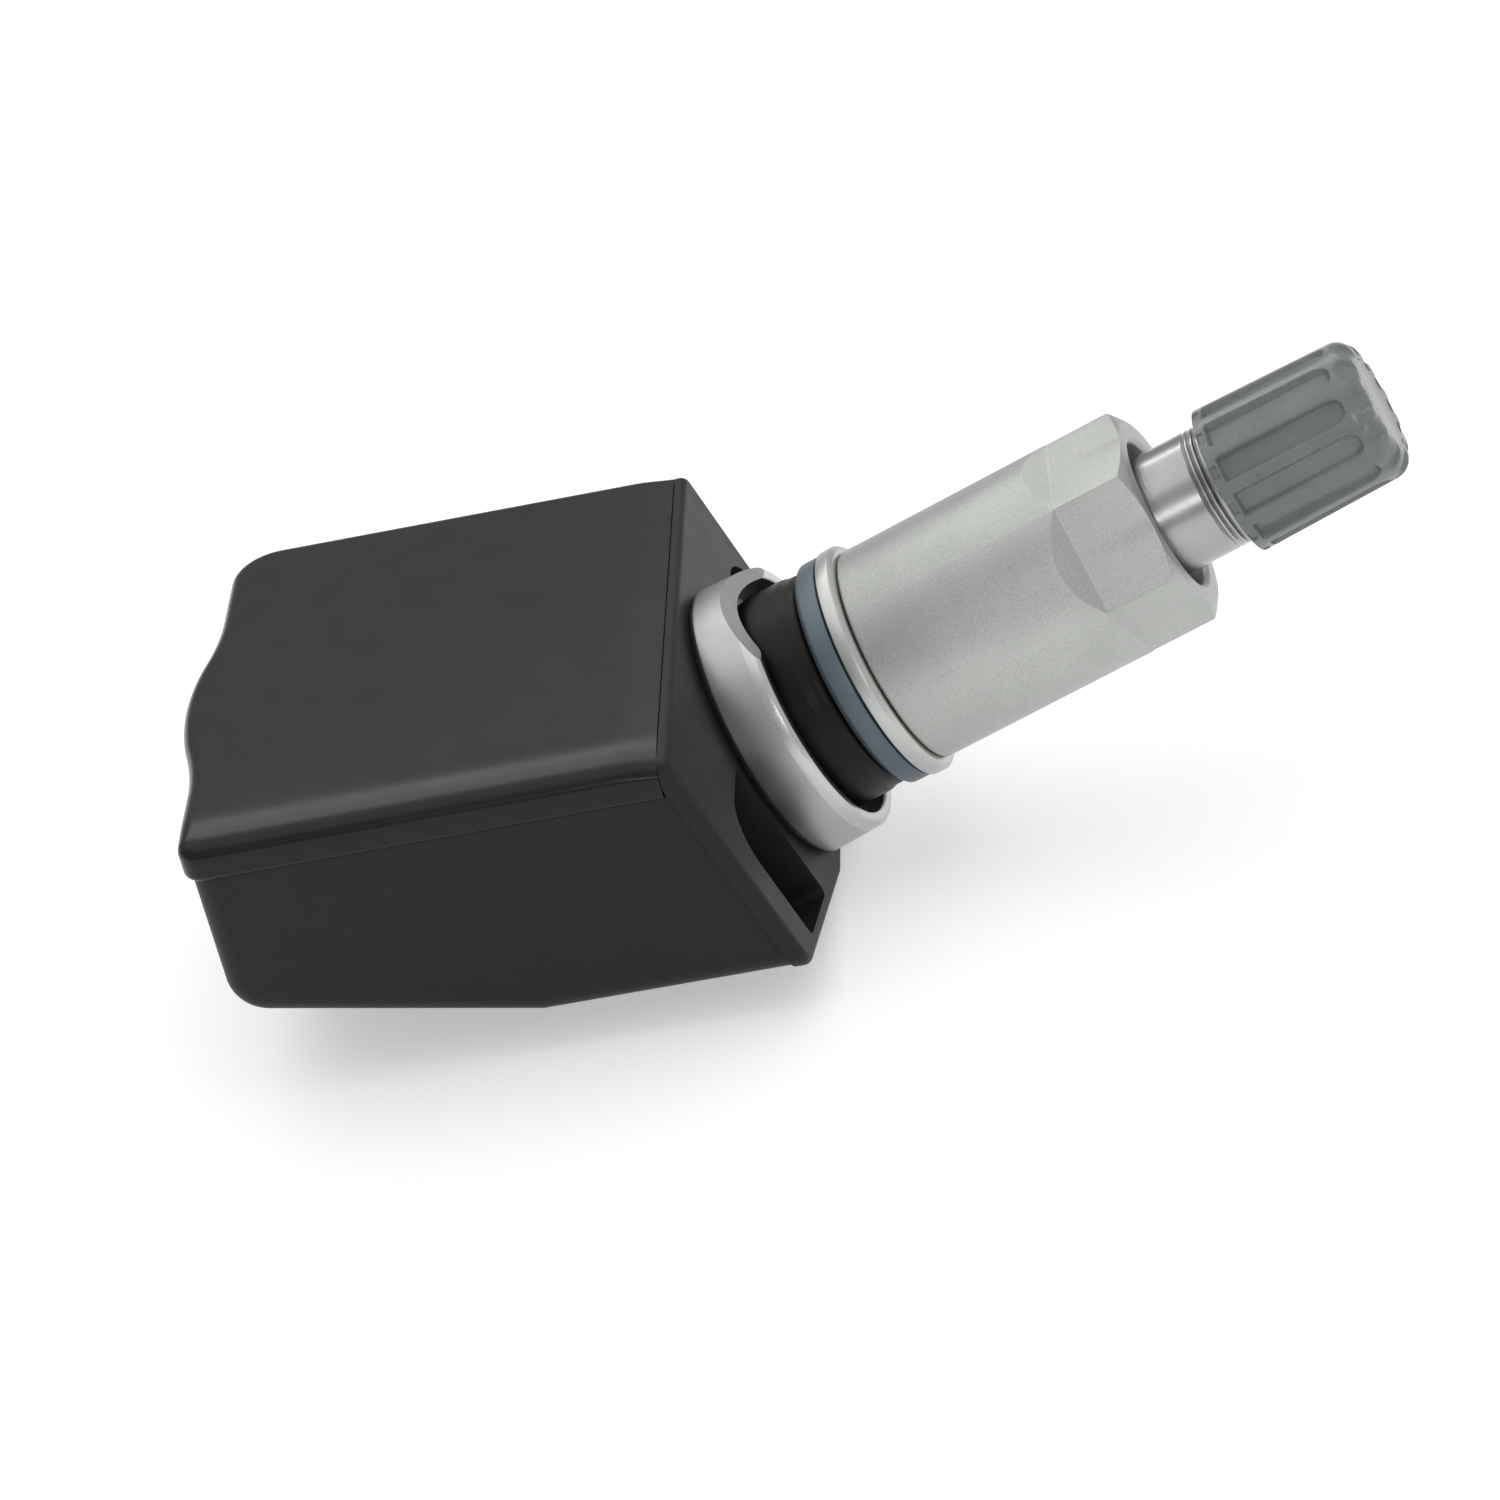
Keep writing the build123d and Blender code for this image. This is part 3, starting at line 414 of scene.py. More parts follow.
def machined(name, low, high, rough, lines, grain, metallic=1.0, along=0.0, mottle=0.0, **sockets):
    """Metal turned on a lathe: lines round the valve, a fine grain and stains of handling.

    The depths of the lines and the grain are in millimetres. The mottle is the fine
    grain's share of the colour and gloss, as on a blasted surface. The gloss is drawn
    out along the lines by the given share.
    """
    made, tree, shader = new_material(name, metallic, Anisotropic=along, **sockets)
    frame_place = node(tree, "ShaderNodeTexCoord").outputs["Object"]
    to_valve = {
        "Vector": frame_place,
        "Location": SEAT * MM,
        "Rotation": valve_turn.to_euler(),
    }
    place = node(tree, "ShaderNodeMapping", to_valve, vector_type="TEXTURE").outputs[0]
    parts = node(tree, "ShaderNodeSeparateXYZ", {"Vector": place}).outputs
    across = maths(tree, "POWER", parts[0], 2.0)
    across = maths(tree, "ADD", across, maths(tree, "POWER", parts[1], 2.0))
    radius = maths(tree, "SQRT", across)
    turn = maths(tree, "ARCTAN2", parts[1], parts[0])
    ring = node(
        tree,
        "ShaderNodeCombineXYZ",
        {
            "X": maths(tree, "MULTIPLY", parts[2], TOOL_LINES),
            "Y": maths(tree, "MULTIPLY", radius, TOOL_LINES),
            "Z": maths(tree, "MULTIPLY", turn, TOOL_WANDER),
        },
    ).outputs[0]
    tool = noise(tree, ring, 1.0, 3.0)
    fine = noise(tree, place, BLAST_SCALE, 2.0)
    drift = noise(tree, place, STAIN_SCALE, 6.0)
    mixed = maths(tree, "MULTIPLY_ADD", fine, mottle, maths(tree, "MULTIPLY", drift, 1 - mottle))
    tone = ramp(tree, mixed, (TONE_START, low), (TONE_END, high))
    tree.links.new(tone, shader.inputs["Base Color"])
    gloss = maths(tree, "MULTIPLY_ADD", tool, TOOL_SHARE, maths(tree, "MULTIPLY", mixed, 1 - TOOL_SHARE))
    tree.links.new(spread(tree, gloss, rough[0], rough[1]), shader.inputs["Roughness"])
    first = node(tree, "ShaderNodeBump", {"Height": tool, "Distance": lines * MM})
    second = node(
        tree,
        "ShaderNodeBump",
        {"Height": fine, "Distance": grain * MM, "Normal": first.outputs["Normal"]},
    )
    tree.links.new(second.outputs["Normal"], shader.inputs["Normal"])
    if along:
        way = node(tree, "ShaderNodeTangent", direction_type="UV_MAP", uv_map=LATHE_MAP)
        tree.links.new(way.outputs["Tangent"], shader.inputs["Tangent"])
    return made


def dress(piece, *made):
    piece.data.materials.clear()
    for material in made:
        piece.data.materials.append(material)


body_plastic = moulded(
    "body_plastic",
    colour(31, 33, 34),
    colour(35, 37, 38),
    rough=(0.42, 0.5),
    grain=0.006,
    grain_scale=5200,
    Specular_IOR_Level=0.22,
)
lid_plastic = moulded(
    "lid_plastic",
    colour(21, 23, 20),
    colour(26, 28, 24),
    rough=(0.21, 0.27),
    grain=0.004,
    grain_scale=5200,
    Specular_IOR_Level=0.25,
)
black_rubber = moulded(
    "black_rubber",
    colour(6, 7, 6),
    colour(10, 11, 10),
    rough=(0.36, 0.48),
    grain=0.006,
    grain_scale=3500,
    Specular_IOR_Level=0.22,
)
smoke = moulded(
    "smoke",
    colour(114, 119, 119),
    colour(125, 130, 129),
    rough=(0.22, 0.29),
    grain=0.002,
    grain_scale=4000,
    Specular_IOR_Level=0.6,
)
collar_metal = machined(
    "collar_metal",
    colour(178, 180, 179),
    colour(188, 190, 188),
    rough=(0.34, 0.44),
    lines=0.0016,
    grain=0.0012,
    along=0.35,
)
rim_metal = machined(
    "rim_metal",
    colour(190, 192, 190),
    colour(202, 204, 201),
    rough=(0.22, 0.32),
    lines=0.006,
    grain=0.0006,
    along=0.5,
)
washer_metal = machined(
    "washer_metal",
    colour(186, 188, 185),
    colour(198, 200, 196),
    rough=(0.28, 0.38),
    lines=0.01,
    grain=0.0006,
    along=0.5,
)
nut_metal = machined(
    "nut_metal",
    colour(174, 177, 173),
    colour(194, 197, 193),
    rough=(0.44, 0.54),
    lines=0.001,
    grain=0.01,
    mottle=0.75,
)
# Near-white metal for the nut's cut edges: a painted highlight, brighter than the nut's own metal,
# standing in for the light that the small bevels catch
painted_highlight_metal = machined(
    "painted_highlight_metal",
    colour(240, 241, 238),
    colour(247, 247, 244),
    rough=(0.3, 0.4),
    lines=0.0004,
    grain=0.0004,
    metallic=0.2,
)
blue_metal = machined(
    "blue_metal",
    colour(94, 106, 115),
    colour(104, 116, 124),
    rough=(0.4, 0.5),
    lines=0.002,
    grain=0.001,
    metallic=0.45,
)
neck_metal = machined(
    "neck_metal",
    colour(160, 162, 160),
    colour(172, 174, 171),
    rough=(0.2, 0.28),
    lines=0.01,
    grain=0.0006,
    along=0.3,
)
board_green = moulded(
    "board_green",
    colour(20, 70, 40),
    colour(26, 84, 48),
    rough=(0.3, 0.4),
    grain=0.004,
    grain_scale=2500,
)
chip_black = moulded(
    "chip_black",
    colour(34, 34, 36),
    colour(42, 42, 44),
    rough=(0.5, 0.6),
    grain=0.003,
    grain_scale=6000,
)
copper = moulded(
    "copper",
    colour(184, 105, 62),
    colour(200, 120, 74),
    rough=(0.3, 0.4),
    grain=0.01,
    grain_scale=5000,
    metallic=1.0,
)
steel = moulded(
    "steel",
    colour(186, 186, 182),
    colour(200, 200, 196),
    rough=(0.28, 0.4),
    grain=0.001,
    grain_scale=7000,
    metallic=1.0,
)
brass = moulded(
    "brass",
    colour(205, 176, 110),
    colour(220, 190, 124),
    rough=(0.28, 0.38),
    grain=0.001,
    grain_scale=7000,
    metallic=1.0,
)

# The CAD nodes that stay in sight or inside, and those that a piece below stands in for
finishes = {
    "housing": body_plastic,
    "lid": lid_plastic,
    "circuit_board": board_green,
    "battery_cell": steel,
    "battery_tab_top": steel,
    "battery_tab_bottom": steel,
    "pressure_chip": chip_black,
    "port_seal": black_rubber,
    "radio_chip": chip_black,
    "crystal": steel,
    "coil_core": chip_black,
    "wake_coil": copper,
    "loop_antenna": brass,
    "stem_screw": steel,
    "valve_stem": collar_metal,
    "grommet": black_rubber,
    "spacer_ring": blue_metal,
    "washer": washer_metal,
    "sleeve_nut": nut_metal,
    "cap": smoke,
    "cap_seal": black_rubber,
    "core_body": brass,
    "core_barrel": brass,
    "core_barrel_seal": black_rubber,
    "core_pin": brass,
    "core_plug": black_rubber,
    "core_spring": steel,
}
for name, made in finishes.items():
    dress(nodes[name], made)
    soften(nodes[name])

# Lid: the solid's outline, with a soft roll down to its near edge and to its seam
LEFT_X = -BODY_LENGTH
NEAR_Y = BODY_MIDDLE_Y - BODY_WIDTH / 2
FAR_Y = BODY_MIDDLE_Y + BODY_WIDTH / 2
JOINT_Z = BODY_HEIGHT - LID_THICKNESS
LID_SIDE_STEPS = 40
NEAR_CORNER_STEPS = 8
SWELL_STEPS = 60
FAR_CORNER_STEPS = 12
SEAM_STEPS = 48
LOW_EDGE_STEPS = 6
TOP_EDGE_STEPS = 10
LIP_CORNER_STEPS = 6
SMALLEST_CORNER = 0.4

# How far each roll reaches outwards, and the share of the lid's height that keeps still
NEAR_ROLL_START = -0.4 * LID_ROLL_WIDTH
SEAM_ROLL_START = -0.2 * SEAM_ROLL_WIDTH
STILL_SHARE = 0.3

# Rings of points over the lid's top, as shares of the way from its edge to its middle
TOP_SHARES = (0.012, 0.025, 0.04, 0.055, 0.075, 0.1, 0.13, 0.17, 0.23, 0.32, 0.45, 0.65, 0.85)


def swell(y):
    """How far the closed end swells out at a place across the body: three equal arcs."""
    half_height, quarter = SWELL_HEIGHT / 2, SWELL_HALF_LENGTH / 2
    radius = (half_height**2 + quarter**2) / SWELL_HEIGHT
    off = abs(y - SWELL_Y)
    if off < quarter:
        return SWELL_HEIGHT - radius + math.sqrt(radius**2 - off**2)
    rest = max(0, SWELL_HALF_LENGTH - off)
    return radius - math.sqrt(radius**2 - rest**2)


def lid_outline(inset):
    """The lid's outline in plan, from the seam's near end round to its far end and back."""
    near, far = NEAR_Y + inset, FAR_Y - inset
    left = LEFT_X + inset
    near_radius, far_radius = NEAR_CORNER_RADIUS - inset, FAR_CORNER_RADIUS - inset
    steps = LID_SIDE_STEPS
    points = [(SEAM_X + (left + near_radius - SEAM_X) * i / steps, near) for i in range(steps)]
    for i in range(NEAR_CORNER_STEPS + 1):
        turn = math.radians(270 - 90 * i / NEAR_CORNER_STEPS)
        x = left + near_radius + near_radius * math.cos(turn)
        points.append((x, near + near_radius + near_radius * math.sin(turn)))
    low, high = near + near_radius, far - far_radius
    for i in range(1, SWELL_STEPS):
        y = low + (high - low) * i / SWELL_STEPS
        points.append((left - swell(y), y))
    for i in range(FAR_CORNER_STEPS + 1):
        turn = math.radians(180 - 90 * i / FAR_CORNER_STEPS)
        x = left + far_radius + far_radius * math.cos(turn)
        points.append((x, far - far_radius + far_radius * math.sin(turn)))
    for i in range(1, steps + 1):
        points.append((SEAM_X + (left + far_radius - SEAM_X) * (1 - i / steps), far))
    points += [(SEAM_X, far + (near - far) * i / SEAM_STEPS) for i in range(1, SEAM_STEPS)]
    return points


def lid_point(x, y, z):
    """A point of the lid, let down near the near edge and near the seam."""
    drop = LID_ROLL * (1 - smoothstep(y - NEAR_Y, NEAR_ROLL_START, LID_ROLL_WIDTH))
    drop += SEAM_ROLL * (1 - smoothstep(SEAM_X - x, SEAM_ROLL_START, SEAM_ROLL_WIDTH))
    share = (z - JOINT_Z) / LID_THICKNESS
    return Vector((x, y, z - drop * smoothstep(share, STILL_SHARE, 1))) * MM


def rounded_prism(name, shrink, low, high):
    """A rounded rectangle, as large as the lip less a margin, from one height to another."""
    bm = bmesh.new()
    radius = max(SMALLEST_CORNER, LIP_CORNER_RADIUS - shrink)
    left, right = LIP_OUTER_LEFT + shrink + radius, LIP_OUTER_RIGHT - shrink - radius
    half = LIP_OUTER_HALF_WIDTH - shrink - radius
    middles = ((right, half), (left, half), (left, -half), (right, -half))
    outline = []
    for quarter, (x, y) in enumerate(middles):
        for i in range(LIP_CORNER_STEPS + 1):
            turn = math.radians(90 * (quarter + i / LIP_CORNER_STEPS))
            outline.append((x + radius * math.cos(turn), BODY_MIDDLE_Y + y + radius * math.sin(turn)))
    lower = [bm.verts.new(Vector((x, y, low)) * MM) for x, y in outline]
    upper = [bm.verts.new(Vector((x, y, high)) * MM) for x, y in outline]
    bm.faces.new(lower)
    bm.faces.new(upper)
    for i in range(len(outline)):
        j = (i + 1) % len(outline)
        bm.faces.new((lower[i], lower[j], upper[j], upper[i]))
    return new_piece(name, bm)


def cut_or_join(piece, tool, operation):
    step = piece.modifiers.new(tool.name, "BOOLEAN")
    step.operation = operation
    step.solver = "EXACT"
    step.object = tool
    apply_modifiers(piece)
    bpy.data.objects.remove(tool)


sections = []
for i in range(LOW_EDGE_STEPS + 1):
    turn = math.radians(90 * i / LOW_EDGE_STEPS)
    low_rise = LID_LOW_RADIUS * (1 - math.cos(turn))
    sections.append((LID_LOW_RADIUS * (1 - math.sin(turn)), JOINT_Z + low_rise))
for i in range(TOP_EDGE_STEPS + 1):
    turn = math.radians(90 * i / TOP_EDGE_STEPS)
    fall = LID_TOP_RADIUS * (1 - math.sin(turn))
    sections.append((LID_TOP_RADIUS * (1 - math.cos(turn)), BODY_HEIGHT - fall))
bm = bmesh.new()
rings = []
for inset, z in sections:
    rings.append([bm.verts.new(lid_point(x, y, z)) for x, y in lid_outline(inset)])
middle = Vector(((SEAM_X + LEFT_X) / 2, BODY_MIDDLE_Y))
inner_edge = [Vector(point) for point in lid_outline(LID_TOP_RADIUS)]
for share in TOP_SHARES:
    inner = [point.lerp(middle, share) for point in inner_edge]
    rings.append([bm.verts.new(lid_point(x, y, BODY_HEIGHT)) for x, y in inner])
for here, there in zip(rings, rings[1:]):
    for i in range(len(here)):
        j = (i + 1) % len(here)
        bm.faces.new((here[i], here[j], there[j], there[i]))
bm.faces.new(rings[0])
bm.faces.new(rings[-1])
lid_look = new_piece("lid_look", bm)
lip = rounded_prism("lip", 0, JOINT_Z - LIP_HEIGHT, JOINT_Z + LIP_HEIGHT / 2)
cut_or_join(lid_look, lip, "UNION")
recess = rounded_prism("recess", LIP_WIDTH, JOINT_Z - 2 * LIP_HEIGHT, JOINT_Z + LID_RECESS)
cut_or_join(lid_look, recess, "DIFFERENCE")
soften(lid_look, smooth_angle=40)
dress(lid_look, lid_plastic)

# Stem: cup, shank, screw zone, neck and the bore inside
chamber_floor = STEM_END - CHAMBER_DEPTH
seat_end = chamber_floor - SEAT_DEPTH
well_floor = STEM_END - WELL_DEPTH
rim_band = COLLAR_LENGTH - COLLAR_RIM_BAND
stem_outline = [
    (0, COLLAR_RADIUS - COLLAR_ROOT_CHAMFER),
    (COLLAR_ROOT_CHAMFER, COLLAR_RADIUS - COLLAR_DRAFT),
    (rim_band, COLLAR_RIM_RADIUS + COLLAR_RIM_BULGE),
    (COLLAR_LENGTH - COLLAR_RIM_CHAMFER, COLLAR_RIM_RADIUS),
    (COLLAR_LENGTH, COLLAR_RIM_RADIUS - COLLAR_RIM_CHAMFER),
    (COLLAR_LENGTH, COLLAR_INNER_RADIUS + COLLAR_MOUTH_CHAMFER),
    (COLLAR_LENGTH - COLLAR_MOUTH_CHAMFER, COLLAR_INNER_RADIUS),
    (COLLAR_FLOOR, COLLAR_INNER_RADIUS),
    (COLLAR_FLOOR, SHANK_RADIUS),
    (GROMMET_FRONT, SHANK_RADIUS),
    (GROMMET_FRONT, SCREW_ZONE_RADIUS),
    (SCREW_ZONE_END, SCREW_ZONE_RADIUS),
    (SCREW_ZONE_END + SCREW_ZONE_RADIUS - NECK_RADIUS, NECK_RADIUS),
]
for groove in range(NECK_GROOVES):
    groove_u = CAP_START - NECK_GROOVES_TO_CAP + NECK_GROOVE_PITCH * groove
    stem_outline += [
        (groove_u - NECK_GROOVE_HALF_WIDTH, NECK_RADIUS),
        (groove_u, NECK_RADIUS - NECK_GROOVE_DEPTH),
        (groove_u + NECK_GROOVE_HALF_WIDTH, NECK_RADIUS),
    ]
stem_outline += [
    (CAP_START, NECK_RADIUS),
    (CAP_START + THREAD_RUN_IN, THREAD_CORE_RADIUS),
    (STEM_END - STEM_END_CHAMFER, THREAD_CORE_RADIUS),
    (STEM_END, THREAD_CORE_RADIUS - STEM_END_CHAMFER),
    (STEM_END, CHAMBER_RADIUS),
    (chamber_floor, CHAMBER_RADIUS),
    (seat_end, SEAT_RADIUS),
    (well_floor, SEAT_RADIUS),
    (well_floor - SEAT_RADIUS + AIR_BORE_RADIUS, AIR_BORE_RADIUS),
    (TAP_DEPTH, AIR_BORE_RADIUS),
    (TAP_DEPTH, TAP_RADIUS),
    (0, TAP_RADIUS),
]
stem = turned("stem_look", stem_outline, ease=STEM_EASE, segments=STEM_SEGMENTS)
dress(stem, collar_metal, rim_metal, neck_metal)
to_valve_frame = valve_frame.inverted()
for face in stem.data.polygons:
    middle = to_valve_frame @ face.center
    u = middle.z / MM
    reach = math.hypot(middle.x, middle.y) / MM
    if u > NECK_FINISH_START:
        face.material_index = 2
    elif u > rim_band and reach > COLLAR_INNER_RADIUS:
        face.material_index = 1

# The flat bevel that opens the top of the cup's rim
bm = bmesh.new()
slope = 1 / math.tan(NOTCH_TURN)
outline = [
    (COLLAR_LENGTH + NOTCH_OVERRUN, NOTCH_HEIGHT - NOTCH_OVERRUN * slope),
    (COLLAR_LENGTH + NOTCH_OVERRUN, NOTCH_HEIGHT + COLLAR_RADIUS),
    (COLLAR_LENGTH - COLLAR_RADIUS / slope, NOTCH_HEIGHT + COLLAR_RADIUS),
]
ends = []
for side in (-COLLAR_RADIUS, COLLAR_RADIUS):
    ends.append([bm.verts.new(Vector((height, side, u)) * MM) for u, height in outline])
bm.faces.new(ends[0])
bm.faces.new(list(reversed(ends[1])))
for i in range(len(outline)):
    j = (i + 1) % len(outline)
    bm.faces.new((ends[0][j], ends[0][i], ends[1][i], ends[1][j]))
lathe = bm.loops.layers.uv.new(LATHE_MAP)
for face in bm.faces:
    for loop in face.loops:
        height, side, along = loop.vert.co
        loop[lathe].uv = (side / COLLAR_RADIUS / MM, (along + height) / COLLAR_RADIUS / MM)
wedge = new_piece("wedge", bm, valve_frame)
dress(wedge, collar_metal)
cut_or_join(stem, wedge, "DIFFERENCE")
soften(stem)

# The valve's thread, as one ridge that winds along the core and runs out at both ends
bm = bmesh.new()
lathe = bm.loops.layers.uv.new(LATHE_MAP)
first_u = CAP_START + THREAD_TO_MOUTH
last_u = STEM_END - THREAD_TO_END
thread_root = THREAD_CORE_RADIUS - THREAD_ROOT_SINK
thread_height = NECK_RADIUS - THREAD_CREST_FIT - THREAD_CORE_RADIUS
count = int((last_u - first_u) / THREAD_PITCH * THREAD_STEPS_A_TURN)
sections = []
for i in range(count + 1):
    u = first_u + THREAD_PITCH * i / THREAD_STEPS_A_TURN
    fade = min(1, i / THREAD_RUN_OUT_STEPS, (count - i) / THREAD_RUN_OUT_STEPS)
    crest = THREAD_CORE_RADIUS + thread_height * fade
    turn = 2 * math.pi * i / THREAD_STEPS_A_TURN
    ridge = [
        (u - THREAD_ROOT_HALF_WIDTH, thread_root),
        (u - THREAD_CREST_HALF_WIDTH, crest),
        (u + THREAD_CREST_HALF_WIDTH, crest),
        (u + THREAD_ROOT_HALF_WIDTH, thread_root),
    ]
    sections.append([bm.verts.new(on_valve(along, radius, turn)) for along, radius in ridge])
for step, (here, there) in enumerate(zip(sections, sections[1:])):
    for i in range(len(here)):
        j = (i + 1) % len(here)
        face = bm.faces.new((here[i], here[j], there[j], there[i]))
        map_face(face, lathe, step, i, THREAD_STEPS_A_TURN, len(here))
bm.faces.new(sections[0])
bm.faces.new(list(reversed(sections[-1])))
thread = new_piece("stem_thread", bm, valve_frame)
dress(thread, neck_metal)

# Grommet, spacer ring and washer
grommet = turned(
    "grommet_look",
    [
        (COLLAR_FLOOR, SHANK_RADIUS + GROMMET_FIT),
        (COLLAR_FLOOR, GROMMET_RADIUS - GROMMET_FOOT_CHAMFER),
        (COLLAR_FLOOR + GROMMET_TAPER_LENGTH, GROMMET_RADIUS),
        (GROMMET_FRONT - GROMMET_GROOVE_START, GROMMET_RADIUS - GROMMET_TAPER),
        (GROMMET_FRONT - GROMMET_GROOVE_SLOPE_END, GROMMET_RADIUS - GROMMET_GROOVE_DEPTH),
        (GROMMET_FRONT - GROMMET_LIP_START, GROMMET_RADIUS - GROMMET_GROOVE_DEPTH),
        (GROMMET_FRONT, GROMMET_RADIUS - GROMMET_LIP_CHAMFER),
        (GROMMET_FRONT, SHANK_RADIUS + GROMMET_FIT),
    ],
    ease=GROMMET_EASE,
)
dress(grommet, black_rubber)
spacer = turned(
    "spacer_look",
    [
        (SPACER_START, RING_BORE_RADIUS),
        (SPACER_START, SPACER_RADIUS - RING_CHAMFER),
        (SPACER_START + RING_CHAMFER, SPACER_RADIUS),
        (SPACER_END, SPACER_RADIUS),
        (SPACER_END, RING_BORE_RADIUS),
    ],
    ease=SPACER_EASE,
)
dress(spacer, blue_metal)
washer = turned(
    "washer_look",
    [
        (WASHER_START, RING_BORE_RADIUS),
        (WASHER_START, WASHER_RADIUS - RING_CHAMFER),
        (WASHER_START + RING_CHAMFER_LENGTH, WASHER_RADIUS),
        (WASHER_END - RING_CHAMFER, WASHER_RADIUS),
        (WASHER_END, WASHER_RADIUS - RING_CHAMFER),
        (WASHER_END, RING_BORE_RADIUS),
    ],
    ease=WASHER_EASE,
)
dress(washer, washer_metal)


# Sleeve nut: each turn's outline meets the flats exactly where the real cut does. The cone
# of the end chamfer takes at most this share of its length where a flat leaves little of it.
LARGEST_CONE_SHARE = 0.97

# Places of the nut's corners in its outline, where each eased corner has three points
RUN_OUT_CORNER = 3
FLAT_START_CORNER = 4
CHAMFER_CORNER = 5
END_CORNER = 6
POINTS_A_CORNER = 3


def nut_outline(off_middle):
    """Outline of the nut at an angle from the middle of a flat."""
    lean = math.cos(off_middle)
    slope = (NUT_RADIUS - FLAT_RADIUS) / FLATS_RUN_OUT
    flat = min(NUT_RADIUS, FLAT_RADIUS / lean)
    run_out = FLATS_START - (NUT_RADIUS * lean - FLAT_RADIUS) / slope
    chamfer_start = NUT_END - NUT_CHAMFER_LENGTH
    cone_share = (NUT_RADIUS - flat) / (NUT_RADIUS - NUT_END_FACE_RADIUS)
    return [
        (NUT_START, NUT_BORE_RADIUS + NUT_FOOT_CHAMFER),
        (NUT_START, NUT_RADIUS - NUT_FOOT_CHAMFER),
        (NUT_START + NUT_FOOT_CHAMFER, NUT_RADIUS),
        (run_out, NUT_RADIUS),
        (FLATS_START, flat),
        (chamfer_start + min(LARGEST_CONE_SHARE, cone_share) * NUT_CHAMFER_LENGTH, flat),
        (NUT_END, min(flat, NUT_END_FACE_RADIUS)),
        (NUT_END, NUT_BORE_RADIUS + NUT_MOUTH_CHAMFER),
        (NUT_END - NUT_MOUTH_CHAMFER, NUT_BORE_RADIUS),
        (NUT_START + NUT_FOOT_CHAMFER, NUT_BORE_RADIUS),
    ]


half_sector = math.pi / NUT_FLATS
shares = [-1 + 2 * i / NUT_COLUMNS_A_FLAT for i in range(1, NUT_COLUMNS_A_FLAT)]
offsets = [-half_sector, -half_sector + NUT_CORNER_WIDTH]
offsets += [share * (half_sector - NUT_CORNER_WIDTH) for share in shares]
offsets += [half_sector - NUT_CORNER_WIDTH]
flat_rows = range(POINTS_A_CORNER * FLAT_START_CORNER, POINTS_A_CORNER * END_CORNER)
columns, turns = [], []
for sector in range(NUT_FLATS):
    for offset in offsets:
        outline = eased(nut_outline(offset), NUT_EASE)
        if offset == -half_sector:
            for row in flat_rows:
                outline[row] = outline[row] - Vector((0, NUT_CORNER_DIP))
        columns.append(outline)
        turns.append(FLAT_TURN + 2 * half_sector * sector + offset)


def painted_highlight_edge(step, row):
    """Edges that get a painted highlight: the run-out, the corners and the end chamfer."""
    corner, place = divmod(row, POINTS_A_CORNER)
    at_corner = step % len(offsets) in (0, len(offsets) - 1)
    if place < 2 and corner in (RUN_OUT_CORNER, CHAMFER_CORNER, END_CORNER):
        return True
    return at_corner and flat_rows.start <= row <= flat_rows.stop


nut = skin("nut_look", columns, turns, painted_highlight_edge)
dress(nut, nut_metal, painted_highlight_metal)


# Cap: flutes with flat floors between the ribs, small pockets in the band at its mouth
def cap_radius(along, off_middle):
    """Outer radius of the cap at a place along it and an angle from a flute's middle."""
    radius = CAP_MOUTH_RADIUS + (CAP_END_RADIUS - CAP_MOUTH_RADIUS) * along / CAP_LENGTH
    floor = (CAP_END_RADIUS - FLUTE_DEPTH) / math.cos(off_middle)
    depth = radius - floor
    in_end = along - (CAP_LENGTH - CAP_ROUNDING)
    if in_end > 0:
        radius -= CAP_ROUNDING - math.sqrt(max(0, CAP_ROUNDING**2 - in_end**2))
    angle = abs(math.degrees(off_middle))
    closing = min(1, max(0, (along - ARCH_START) / ARCH_LENGTH))
    arch = ARCH_ANGLE * (1 - math.sqrt(1 - closing**2))
    arch *= 1 - smoothstep(along, SCALLOP_START, SCALLOP_WIDE)
    across = 1 - smoothstep(angle, FLUTE_FLOOR_ANGLE - arch, FLUTE_RIB_ANGLE - arch)
    length = smoothstep(along, FLUTE_START, FLUTE_START_END)
    length *= 1 - ARCH_WALL_SHARE * smoothstep(along, ARCH_WALL_START, ARCH_WALL_END)
    length += SCALLOP_SHARE * smoothstep(along, SCALLOP_START, SCALLOP_FULL)
    pocket = 1 - smoothstep(angle, POCKET_FLOOR_ANGLE, POCKET_EDGE_ANGLE)
    pocket *= smoothstep(along, POCKET_START, POCKET_START + POCKET_SLOPE)
    pocket *= 1 - smoothstep(along, POCKET_END - POCKET_SLOPE, POCKET_END)
    return radius - depth * across * length - POCKET_DEPTH * pocket


# Rows along the cap, close together where its shape changes: mouth band, flutes, arches, end
BAND_ROW_STEP = 0.05
BAND_ROWS = 18
FLUTE_ROW_STEP = 0.35
FLUTE_ROWS = 20
ARCH_ROW_STEP = 0.06
ARCH_ROWS = 19
ARCH_ROWS_LEAD = 1.1
ROUNDING_ROWS = 15
rows = [BAND_ROW_STEP * i for i in range(BAND_ROWS)]
rows += [BAND_ROW_STEP * BAND_ROWS + FLUTE_ROW_STEP * i for i in range(FLUTE_ROWS)]
arch_rows_start = CAP_LENGTH - CAP_ROUNDING - ARCH_ROWS_LEAD
rows += [arch_rows_start + ARCH_ROW_STEP * i for i in range(ARCH_ROWS)]
for i in range(1, ROUNDING_ROWS + 1):
    rise = math.sin(math.radians(90 * i / ROUNDING_ROWS))
    rows.append(CAP_LENGTH - CAP_ROUNDING + CAP_ROUNDING * rise)

